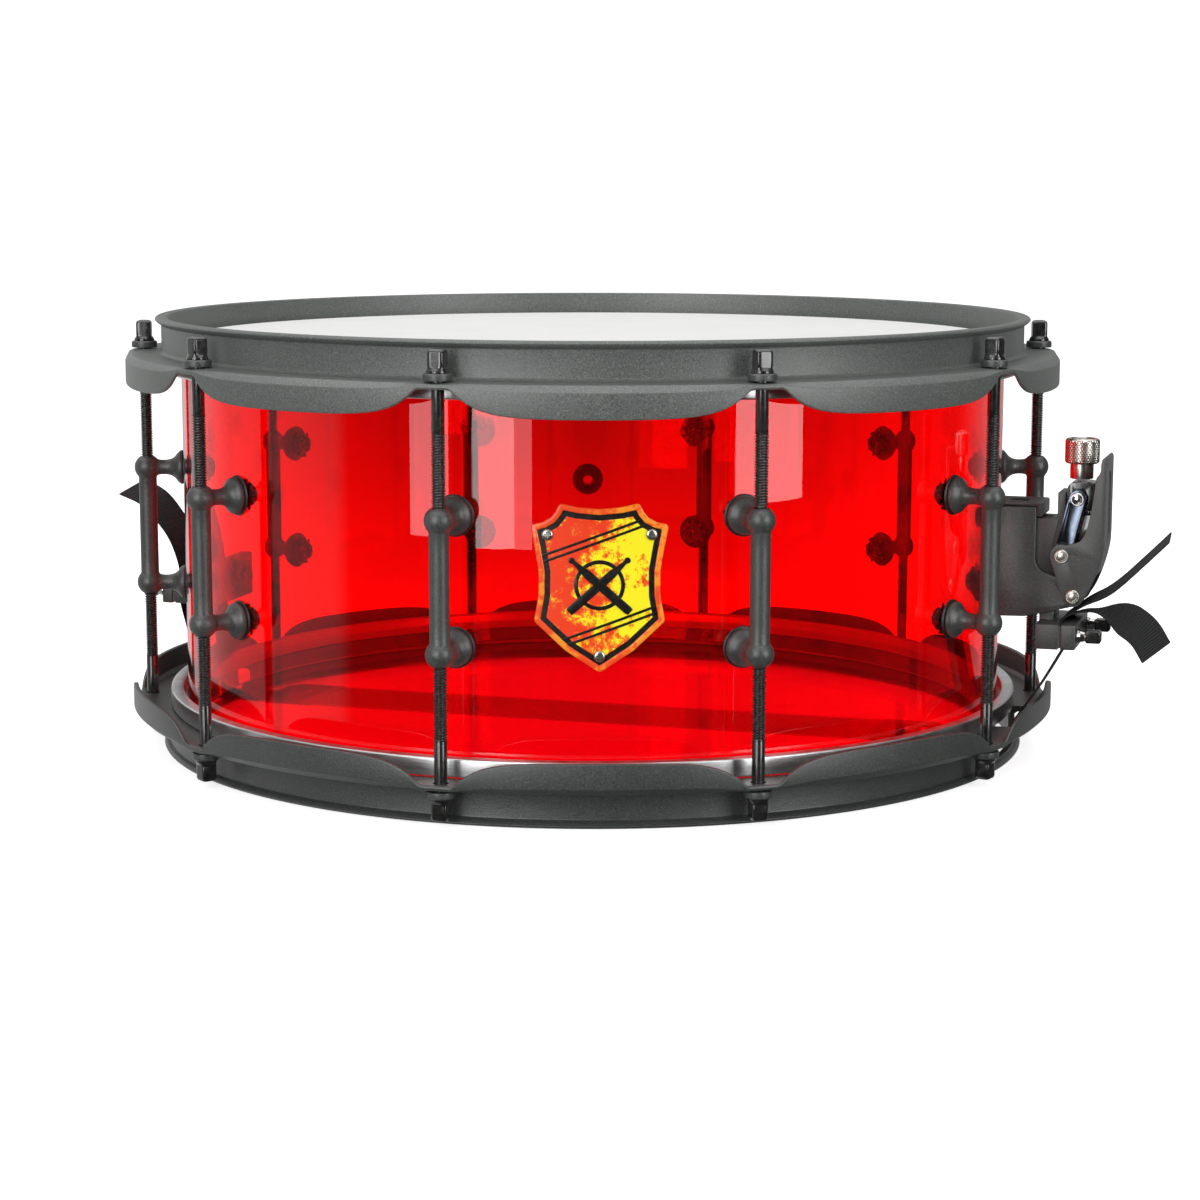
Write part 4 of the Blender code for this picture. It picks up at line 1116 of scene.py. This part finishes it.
def make_clamp(prefix, angle, span, heights, screw_z):
    inner, outer = span
    place = ring_frame(angle)
    plate_shape = clamp_plate_mesh(inner, outer, heights[0], heights[1], screw_z)
    stand_in(prefix + "_clamp_plate", plate_shape, [POWDER_LUG], place)
    screw = clamp_screw_mesh(inner, outer)
    for side, y in (("a", -CLAMP_SCREW_Y), ("b", CLAMP_SCREW_Y)):
        node = f"{prefix}_clamp_screw_{side}"
        stand_in(node, screw, [GLOSS_BLACK, CHROME], ring_frame(angle, outer, y, screw_z))


def make_strainer():
    place = ring_frame(STRAINER_ANGLE)
    stand_in("strainer_body", strainer_body_mesh(), [POWDER_LUG], place)
    stand_in("strainer_bracket", strainer_bracket_mesh(), [POWDER_LUG], place)
    stand_in("strainer_slider", slider_mesh(), [POWDER_LUG], place)
    # The yoke is black as painted shade: it sits in shadow inside the lever
    stand_in("adjuster_yoke", yoke_mesh(), [GLOSS_BLACK], place)
    knob_place = ring_frame(STRAINER_ANGLE, KNOB_X)
    stand_in("tension_knob", knob_mesh(), [NICKEL], knob_place)
    stand_in("throw_lever", lever_mesh(), [POWDER_LUG], place)
    # The rib is black as painted shade: it lies in shadow inside the lever
    piece("lever_rib", lever_rib_mesh(), [GLOSS_BLACK], place, BODY_OF["throw_lever"])
    # The link's second material darkens its web as painted shade
    stand_in("strainer_link", link_mesh(), [BLUED_CHROME, OXIDE], place)
    stand_in("lever_pivot_pin", rivet_mesh(PIVOT, 14.0), [NICKEL], place)
    stand_in("link_top_pin", rivet_mesh(LINK_TOP, 11.8, 1.7, 2.8), [CHROME], place)
    piece("link_low_pin", rivet_mesh(LINK_LOW, 13.7), [NICKEL], place, BODY_OF["throw_lever"])
    fixings = pair_up("strainer_fixings", fixing_mesh(BODY_BACK - 0.1), STRAINER_SCREWS)
    piece("strainer_fixings", fixings, [OXIDE], place)
    make_clamp("strainer", STRAINER_ANGLE, (CLAMP_FACE, CLAMP_OUT), (CLAMP_LOW, CLAMP_HIGH), CLAMP_SCREW_Z)


def make_butt():
    place = ring_frame(BUTT_ANGLE)
    back = BODY_BACK + 0.8
    outline = [(back, BUTT_FOOT_HIGH), (back, BUTT_LOW), (BUTT_JAW, BUTT_LOW), (BUTT_JAW, BUTT_HIGH)]
    outline += arc((191.0, BUTT_HIGH + 4.6), 4.6, 270.0, 190.0, 6) + [(186.0, BUTT_FOOT_HIGH)]
    base = plate("butt", outline, -CLAMP_HALF, CLAMP_HALF)
    drills = screw_drills(187.0, 210.0, BUTT_SCREW_Z, 2.1)
    body = shaped("butt_body", base, [drills], bevel=0.9, segments=4)
    mesh = merged("butt_body", [body, *jaw_pads(BUTT_JAW, BUTT_FACE, BUTT_LOW, BUTT_HIGH)])
    stand_in("butt_body", mesh, [POWDER_LUG], place)
    seat = SHELL_R - SHELL_WALL - 0.4
    ring = [(2.9, seat), (8.1, seat), (8.1, seat - 1.7), (2.9, seat - 1.7)]
    washer = turned("washer", rounded(ring, 0.3, 3), 48, axis="X")
    fixing = merged("fixing", [washer, pan_screw_mesh(seat - 1.7, 4.6, 2.7, 2.35, back - 0.1)])
    piece("butt_fixings", pair_up("butt_fixings", fixing, BUTT_SCREWS), [OXIDE], place)
    make_clamp("butt", BUTT_ANGLE, (BUTT_FACE, BUTT_PLATE_OUT), (BUTT_LOW, BUTT_HIGH), BUTT_SCREW_Z)


# Snares and straps


def coil_mesh(radius, wire, pitch, half_length):
    """One snare strand: a wire wound along x."""
    per, sides = 9, 4
    count = int(2 * half_length / pitch * per)
    rows = []
    for i in range(count + 1):
        a = 2 * pi * i / per
        out = Vector((0.0, cos(a), sin(a)))
        centre = Vector((-half_length + pitch * i / per, 0.0, 0.0)) + out * (radius - wire)
        ring = []
        for k in range(sides):
            b = 2 * pi * (k + 0.5) / sides
            ring.append(centre + out * (wire * cos(b)) + Vector((wire * 1.3 * sin(b), 0.0, 0.0)))
        rows.append(ring)
    return loft("coil", rows, angle=80.0)


def end_plate_mesh(side):
    """A pressed end plate with a strap slot and a folded edge."""
    inner, outer = WIRE_HALF_LENGTH, WIRE_HALF_LENGTH + END_PLATE
    half = END_PLATE_HALF_WIDTH
    corners = [(inner, -half), (outer - 5.0, -half), (outer, -half + 6.0)]
    corners += [(x, -y) for x, y in reversed(corners)]
    outline = [(side * x, y) for x, y in rounded(corners, 1.5, 3)]
    base = loft("end_plate", [[(x, y, z) for x, y in outline] for z in (-0.45, 0.45)])
    start, end = [Vector((side * (inner + 5.0), y, -0.2)) for y in (-half + 1.0, half - 1.0)]
    rib = bar("rib", start, end, 0.85, 12)
    slots = []
    for x in (inner + 11.0, inner + 18.0):
        ends = rounded([(x, -13.2), (x + 2.2, -13.2), (x + 2.2, 13.2), (x, 13.2)], 1.0, 3)
        slots.append(loft("slot", [[(side * a, y, z) for a, y in ends] for z in (-3.0, 3.0)]))
    return shaped("end_plate", base, slots, [rib], bevel=0.12, segments=1)


def snare_mesh():
    parts = []
    coil = coil_mesh(WIRE_R, 0.19, 1.75, WIRE_HALF_LENGTH + 3.5)
    for i in range(WIRE_COUNT):
        y = (i - (WIRE_COUNT - 1) / 2) * WIRE_PITCH
        parts.append((coil, Matrix.Translation((0, y * MM, 0))))
    parts += [end_plate_mesh(side) for side in (-1, 1)]
    return merged("snares", parts)


def curve_through(points, per=8):
    """A smooth run of points through the given ones."""
    padded = [points[0] * 2 - points[1], *points, points[-1] * 2 - points[-2]]
    result = []
    for i in range(1, len(padded) - 2):
        a, b, c, d = padded[i - 1 : i + 3]
        for k in range(per):
            t = k / per
            bend, twist = a * 2 - b * 5 + c * 4 - d, b * 3 - a - c * 3 + d
            result.append(0.5 * (b * 2 + (c - a) * t + bend * t * t + twist * t ** 3))
    return [*result, padded[-2]]


def ribbon_mesh(name, path, half_width, twist=lambda t: 0.0):
    """A woven strip along a path of (x, z) points; twist turns it about its own run."""
    centres = curve_through([Vector((x, 0.0, z)) for x, z in path])
    count = len(centres)
    columns = 16
    run = [0.0]
    for a, b in zip(centres, centres[1:]):
        run.append(run[-1] + (b - a).length)
    rows, marks = [], []
    for i, centre in enumerate(centres):
        t = run[i] / run[-1]
        along = (centres[min(i + 1, count - 1)] - centres[max(i - 1, 0)]).normalized()
        across = Matrix.Rotation(twist(t), 3, along) @ Vector((0.0, 1.0, 0.0))
        up = along.cross(across).normalized()
        ring, mark = [], []
        for face in (1, -1):
            for j in range(columns + 1):
                v = (-1 + 2 * j / columns) * face
                edge = 1.0 - 0.35 * max(0.0, abs(v) - 0.9) / 0.1
                ring.append(centre + across * (half_width * v) + up * (face * STRAP / 2 * edge))
                mark.append((run[i], v * half_width))
        rows.append(ring)
        marks.append(mark)
    width = len(rows[0])
    mesh = bpy.data.meshes.new(name)
    faces = []
    for i in range(count - 1):
        a, b = i * width, (i + 1) * width
        faces += [(a + j, a + (j + 1) % width, b + (j + 1) % width, b + j) for j in range(width)]
    faces += [tuple(range(width)), tuple(range((count - 1) * width, count * width))]
    mesh.from_pydata([p * MM for row in rows for p in row], [], faces)
    flat_marks = [m for mark in marks for m in mark]
    layer = mesh.uv_layers.new(name="weave")
    for loop in mesh.loops:
        layer.data[loop.index].uv = flat_marks[loop.vertex_index]
    with edited(mesh, 50.0):
        return mesh


def eased(t):
    """A smooth step from 0 to 1 as t does the same."""
    t = min(max(t, 0.0), 1.0)
    return t * t * (3.0 - 2.0 * t)


def make_straps():
    under = SNARE_Z - 1.85
    start = [(WIRE_HALF_LENGTH + 4.0, under), (150.0, under), (176.0, under), (183.2, under + 0.1)]
    start.append((186.2, -82.0))
    clamp_x = (CLAMP_JAW + CLAMP_FACE) / 2
    place = ring_frame(STRAINER_ANGLE)
    slider = BODY_OF["strainer_slider"]
    run = start + [(187.6, -78.0), (189.3, -74.5), (198.4, -61.0), (206.4, -47.0)]
    strap = ribbon_mesh("strainer_strap", run + [(clamp_x, -42.2), (clamp_x, -31.6)], STRAP_HALF_WIDTH)
    obj = linked("strainer_strap_run", strap)
    strap.materials.append(RIBBON)
    obj.matrix_world = place
    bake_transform(obj)
    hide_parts("strainer_strap")
    upper = [(clamp_x - 0.02, -32.0), (clamp_x + 0.1, -30.4), (212.0, -27.8), (217.6, -23.8), (225.6, -19.6)]
    upper += [(231.9, -14.6), (240.8, -5.8), (250.6, 4.2)]
    lower = [(clamp_x + 0.04, -32.2), (clamp_x + 0.5, -30.9), (212.4, -29.2), (217.0, -28.0), (224.9, -27.9)]
    lower += [(232.4, -30.2), (240.9, -36.0), (246.6, -44.6)]
    for name, path, narrower, twist in (
        ("upper", upper, 0.2, lambda t: radians(5.0) * eased(t / 0.5)),
        ("lower", lower, 0.4, lambda t: radians(-5.0) + radians(33.0) * eased((t - 0.28) / 0.36)),
    ):
        mesh = ribbon_mesh("tail", path, STRAP_HALF_WIDTH - narrower, twist)
        tail = piece(f"strainer_strap_{name}_tail", mesh, [RIBBON], place, slider)
        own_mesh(tail)
    clamp_x = (BUTT_JAW + BUTT_FACE) / 2
    run = start + [(187.2, -76.0), (188.2, -68.0), (191.0, -55.0), (clamp_x, -43.0), (clamp_x, -36.0)]
    run += [(clamp_x, -30.6), (195.0, -24.0), (198.2, -14.0), (203.5, -5.6), (212.0, 3.5), (223.0, 8.8)]
    turned_out = lambda t: radians(-12.0) * max(0.0, t - 0.72) / 0.28
    strap = ribbon_mesh("butt_strap", run, STRAP_HALF_WIDTH, turned_out)
    stand_in("butt_strap", strap, [RIBBON], ring_frame(BUTT_ANGLE))


# Badge


def inset(outline, distance):
    """The outline moved inwards by a distance, side by side."""
    count = len(outline)
    area = sum(a[0] * b[1] - b[0] * a[1] for a, b in zip(outline, outline[1:] + outline[:1]))
    turn = 1.0 if area > 0 else -1.0
    lines = []
    for i in range(count):
        a, b = Vector(outline[i]), Vector(outline[(i + 1) % count])
        step = (b - a).normalized()
        inward = Vector((-step.y, step.x)) * turn
        lines.append((a + inward * distance, step))
    result = []
    for i in range(count):
        (p, d), (q, e) = lines[i - 1], lines[i]
        cross = d.x * e.y - d.y * e.x
        t = ((q - p).x * e.y - (q - p).y * e.x) / cross
        result.append(tuple(p + d * t))
    return result


def on_shell(name, outline, low, high, holes=(), bevel=0.0, material=0):
    """A flat outline of (arc, z) points, raised between two heights and wrapped round the shell's front."""
    mesh = plate(name, outline, -high, -low)
    if holes or bevel:
        mesh = shaped(name, mesh, cuts=holes, bevel=bevel, segments=3)
    with edited(mesh, 30.0) as form:
        for at in range(-27, 28):
            whole = form.verts[:] + form.edges[:] + form.faces[:]
            bmesh.ops.bisect_plane(form, geom=whole, plane_co=(at * MM, 0, 0), plane_no=(1, 0, 0))
        for vertex in form.verts:
            s, out, z = vertex.co / MM
            a = s / SHELL_R
            r = SHELL_R - out
            vertex.co = Vector((r * sin(a), -r * cos(a), z)) * MM
        for face in form.faces:
            face.material_index = material
    return mesh


def stick_outline(lean, length, width):
    """A drumstick seen from the side, leaning about the badge's middle."""
    half = width / 2
    side = [(half * 0.85, -length * 0.5), (half, -length * 0.46), (half, length * 0.2)]
    side += [(half * 0.45, length * 0.4)] + arc((0.0, length * 0.455), half * 0.72, -50.0, 90.0, 7)
    outline = side + [(-x, z) for x, z in reversed(side)]
    turn = Matrix.Rotation(radians(lean), 2)
    return [tuple(turn @ Vector(point)) for point in outline]


def half_width_at(outline, height):
    """Half the width of a symmetrical outline at a height."""
    widths = [0.0]
    for (x0, z0), (x1, z1) in zip(outline, outline[1:] + outline[:1]):
        if min(z0, z1) <= height < max(z0, z1):
            widths.append(abs(x0 + (x1 - x0) * (height - z0) / (z1 - z0)))
    return max(widths)


def stripe_outline(outline, height, slope, width, margin):
    """A slanting stripe across a symmetrical outline, ending this far inside its sides."""
    ends = []
    for side in (-1, 1):
        x = 0.0
        for _ in range(12):
            x = side * (half_width_at(outline, height + slope * x) - margin)
        ends.append((x, height + slope * x))
    (x0, z0), (x1, z1) = ends
    return [(x0, z0 - width / 2), (x1, z1 - width / 2), (x1, z1 + width / 2), (x0, z0 + width / 2)]


def make_badge():
    """A shield: a raised orange rim, a black line, and a flame field crossed by slanting pairs of stripes."""
    half = [(0.0, 29.0), (8.0, 29.7), (15.0, 31.2), (16.6, 27.8), (18.4, 25.6), (21.4, 23.9), (26.2, 22.9)]
    half += [(24.4, 14.0), (22.9, 5.0), (23.0, -4.0), (24.8, -14.0), (12.8, -25.2), (0.0, -33.6)]
    outline = half + [(-x, z) for x, z in reversed(half[1:-1])]
    line = inset(outline, BADGE_RIM)
    field = inset(outline, BADGE_RIM + BADGE_LINE)
    hole = plate("hole", rounded(line, 0.8, 3), -5.0, 0.0)
    base = on_shell("base", rounded(inset(outline, 0.6), 1.6, 4), 0.4, 0.9, material=1)
    rim = on_shell("rim", rounded(outline, 1.9, 5), 0.45, 1.7, holes=[hole], bevel=0.55, material=0)
    inner = on_shell("field", rounded(field, 0.7, 3), 0.8, 1.15, material=2)
    parts = [base, rim, inner]
    slope = tan(radians(BADGE_SLANT))
    for height in BADGE_STRIPES:
        stripe = stripe_outline(outline, height, slope, 1.1, 1.5)
        parts.append(on_shell("stripe", stripe, 1.0, 1.3, bevel=0.1, material=1))
    circle = arc((0.0, 0.0), 9.6, 0.0, 352.5, 47)
    hub = plate("hub", arc((0.0, 0.0), 8.1, 0.0, 352.5, 47), -5.0, 0.0)
    parts.append(on_shell("drum_ring", circle, 1.0, 1.34, holes=[hub], bevel=0.1, material=1))
    for lean in (-48.0, 48.0):
        stick = stick_outline(lean, 31.0, 3.3)
        parts.append(on_shell("stick", stick, 1.0, 1.5 + (0.12 if lean > 0 else 0.0), bevel=0.14, material=1))
    stand_in("badge", merged("badge", parts), [ORANGE, BLACK_ENAMEL, MOTTLED])
    screw = pan_screw_mesh(0.0, 2.2, 1.3, 0.9, 1.0)
    turn = Matrix.Rotation(pi, 4, "Z")
    screws = []
    for s, z in BADGE_SCREWS:
        out = Matrix.Translation(Vector((SHELL_R + 1.1, 0.0, z)) * MM)
        screws.append((screw, Matrix.Rotation(s / SHELL_R - pi / 2, 4, "Z") @ out @ turn))
    piece("badge_screws", merged("badge_screws", screws), [NICKEL])


# The drum


def make_shell_and_heads():
    stand_in("shell", shell_mesh(), [ACRYLIC, ACRYLIC_EDGE])
    stand_in("vent_grommet", vent_mesh(), [GLOSS_BLACK], ring_frame(VENT_ANGLE))
    stand_in("batter_head", film_mesh("batter_film"), [SPRAYED])
    stand_in("resonant_head", film_mesh("resonant_film"), [CLEAR_FILM], MIDDLE @ UPSIDE_DOWN)
    stand_in("batter_flesh_hoop", flesh_hoop_mesh("flesh", BATTER_FLESH_LOW), [ALUMINIUM])
    mesh = flesh_hoop_mesh("flesh", RESONANT_FLESH_LOW)
    stand_in("resonant_flesh_hoop", mesh, [ALUMINIUM], MIDDLE @ UPSIDE_DOWN)


make_shell_and_heads()
stand_in("top_hoop", hoop_mesh("top_hoop", 1), [POWDER])
# The bottom hoop takes the darker copy of the one coat, as painted shade
stand_in("bottom_hoop", hoop_mesh("bottom_hoop", -1), [POWDER_SHADED])
make_lugs_and_rods()
make_strainer()
make_butt()
stand_in("snare_wires", snare_mesh(), [CHROME], ring_frame(STRAINER_ANGLE, 0.0, 0.0, SNARE_Z))
make_straps()
make_badge()


# Stage


def make_floor():
    form = bmesh.new()
    bmesh.ops.create_circle(form, cap_ends=True, segments=96, radius=8.0)
    mesh = bpy.data.meshes.new("floor")
    form.to_mesh(mesh)
    form.free()
    floor = linked("floor", mesh)
    floor.location.z = (BOTTOM_LIP - 0.3) * MM
    look = Look("white_floor", Roughness=0.9)
    look.shader.inputs["Specular IOR Level"].default_value = 0.0
    look.shader.inputs["Emission Color"].default_value = (1.0, 1.0, 1.0, 1.0)
    look.shader.inputs["Emission Strength"].default_value = 0.72
    look.drive("Base Color", look.ramp(look.noise(300.0, 2.0), [(0.3, 0.86), (0.7, 0.89)]))
    mesh.materials.append(look.material)
    floor.visible_glossy = False
    floor.visible_diffuse = False
    floor.visible_transmission = False


def area_light(name, width, height, radiance):
    light = bpy.data.lights.new(name, "AREA")
    light.shape = "RECTANGLE"
    light.size = width
    light.size_y = height
    light.energy = radiance * pi * width * height
    obj = linked(name, light)
    obj.visible_camera = False
    return obj


def softbox(name, left, right, low, high, radiance):
    """An upright soft panel facing the drum, between two angles round it and two heights in metres."""
    width = 2 * LAMP_DISTANCE * tan(radians(right - left) / 2)
    obj = area_light(name, width, high - low, radiance)
    a = radians((left + right) / 2)
    out = Vector((sin(a), -cos(a), 0.0))
    obj.location = out * LAMP_DISTANCE + Vector((0.0, 0.0, MID_Z * MM + (low + high) / 2))
    obj.rotation_euler = (-out).to_track_quat("-Z", "Y").to_euler()


def overhead(name, size, height, radiance):
    obj = area_light(name, size, size, radiance)
    obj.location = (0.0, 0.0, height)


# Radiance of the studio that reflections see: everywhere, then added on its left, behind and above
STUDIO_DARK, LEFT_WALL, BACK_WALL, CEILING = 0.03, 0.37, 0.34, 0.35
# Radiance that other rays see: those that light a surface, those that leave the shell downwards, those
# that leave it level or upwards, and the camera's
SKY, THROUGH_BRIGHT, THROUGH_DIM, WHITE = 0.48, 1.4, 0.42, 1.05


def make_world():
    """White where the camera sees it, and for reflections a dark studio with pale walls behind and left."""
    world = bpy.data.worlds.new("studio")
    bpy.context.scene.world = world
    world.use_nodes = True
    tree = world.node_tree
    background = tree.nodes["Background"]

    def step(value, low, high, bottom, top):
        values = {0: value, 1: low, 2: high, 3: bottom, 4: top}
        return add_node(tree, "ShaderNodeMapRange", values, interpolation_type="SMOOTHSTEP").outputs[0]

    def maths(operation, a, b):
        return add_node(tree, "ShaderNodeMath", {0: a, 1: b}, operation=operation).outputs[0]

    def either(ray, other, chosen):
        return add_node(tree, "ShaderNodeMix", {0: seen.outputs[ray], 2: other, 3: chosen}).outputs[0]

    place = add_node(tree, "ShaderNodeTexCoord").outputs["Generated"]
    split = add_node(tree, "ShaderNodeSeparateXYZ", {0: place})
    x, y, z = split.outputs[0], split.outputs[1], split.outputs[2]
    left = maths("MULTIPLY", step(x, -0.35, -0.1, 1.0, 0.0), step(y, -0.36, -0.24, 0.0, 1.0))
    back = step(y, 0.45, 0.8, 0.0, 1.0)
    studio = maths("ADD", maths("MULTIPLY", left, LEFT_WALL), maths("MULTIPLY", back, BACK_WALL))
    studio = maths("ADD", studio, STUDIO_DARK)
    studio = maths("ADD", studio, step(z, 0.45, 0.8, 0.0, CEILING))
    seen = add_node(tree, "ShaderNodeLightPath")
    upper = step(z, -0.2, -0.075, THROUGH_BRIGHT, THROUGH_DIM)
    side = step(maths("ABSOLUTE", x, 0.0), 0.05, 0.2, 0.0, 0.6)
    through = maths("MINIMUM", maths("ADD", upper, side), THROUGH_BRIGHT)
    strength = either("Is Diffuse Ray", studio, SKY)
    strength = either("Is Transmission Ray", strength, through)
    strength = either("Is Camera Ray", strength, WHITE)
    tree.links.new(strength, background.inputs["Strength"])
    background.inputs["Color"].default_value = (1.0, 1.0, 1.0, 1.0)


def make_camera():
    camera = bpy.data.cameras.new("camera")
    camera.lens = LENS
    camera.sensor_width = SENSOR
    camera.shift_y = SHIFT_Y
    camera.clip_start, camera.clip_end = 0.05, 60.0
    obj = linked("camera", camera)
    pitch, yaw, roll = radians(CAMERA_PITCH), radians(CAMERA_YAW), radians(CAMERA_ROLL)
    forward = Vector((sin(yaw) * cos(pitch), cos(yaw) * cos(pitch), -sin(pitch)))
    flat_right = Vector((cos(yaw), -sin(yaw), 0.0))
    flat_up = flat_right.cross(forward)
    right = flat_right * cos(roll) + flat_up * sin(roll)
    up = flat_up * cos(roll) - flat_right * sin(roll)
    basis = Matrix((right, up, -forward)).transposed().to_4x4()
    turn = Matrix.Rotation(radians(CAMERA_TURN), 4, "Z")
    at = Vector(CAMERA_AT) + Vector((0.0, 0.0, MID_Z))
    obj.matrix_world = turn @ Matrix.Translation(at * MM) @ basis
    bpy.context.scene.camera = obj


make_floor()
softbox("left_lamp", -48.0, -37.5, -0.19, 0.98, 3.4)
softbox("near_left_lamp", -32.0, -20.5, -0.2, 1.15, 5.6)
softbox("dim_left_lamp", -20.5, -16.0, -0.2, 0.96, 2.2)
softbox("right_lamp", 33.5, 54.0, -0.158, 0.97, 4.6)
overhead("top_lamp", 2.4, 1.5, 1.1)
make_world()
make_camera()
bpy.context.scene.view_settings.view_transform = "Standard"
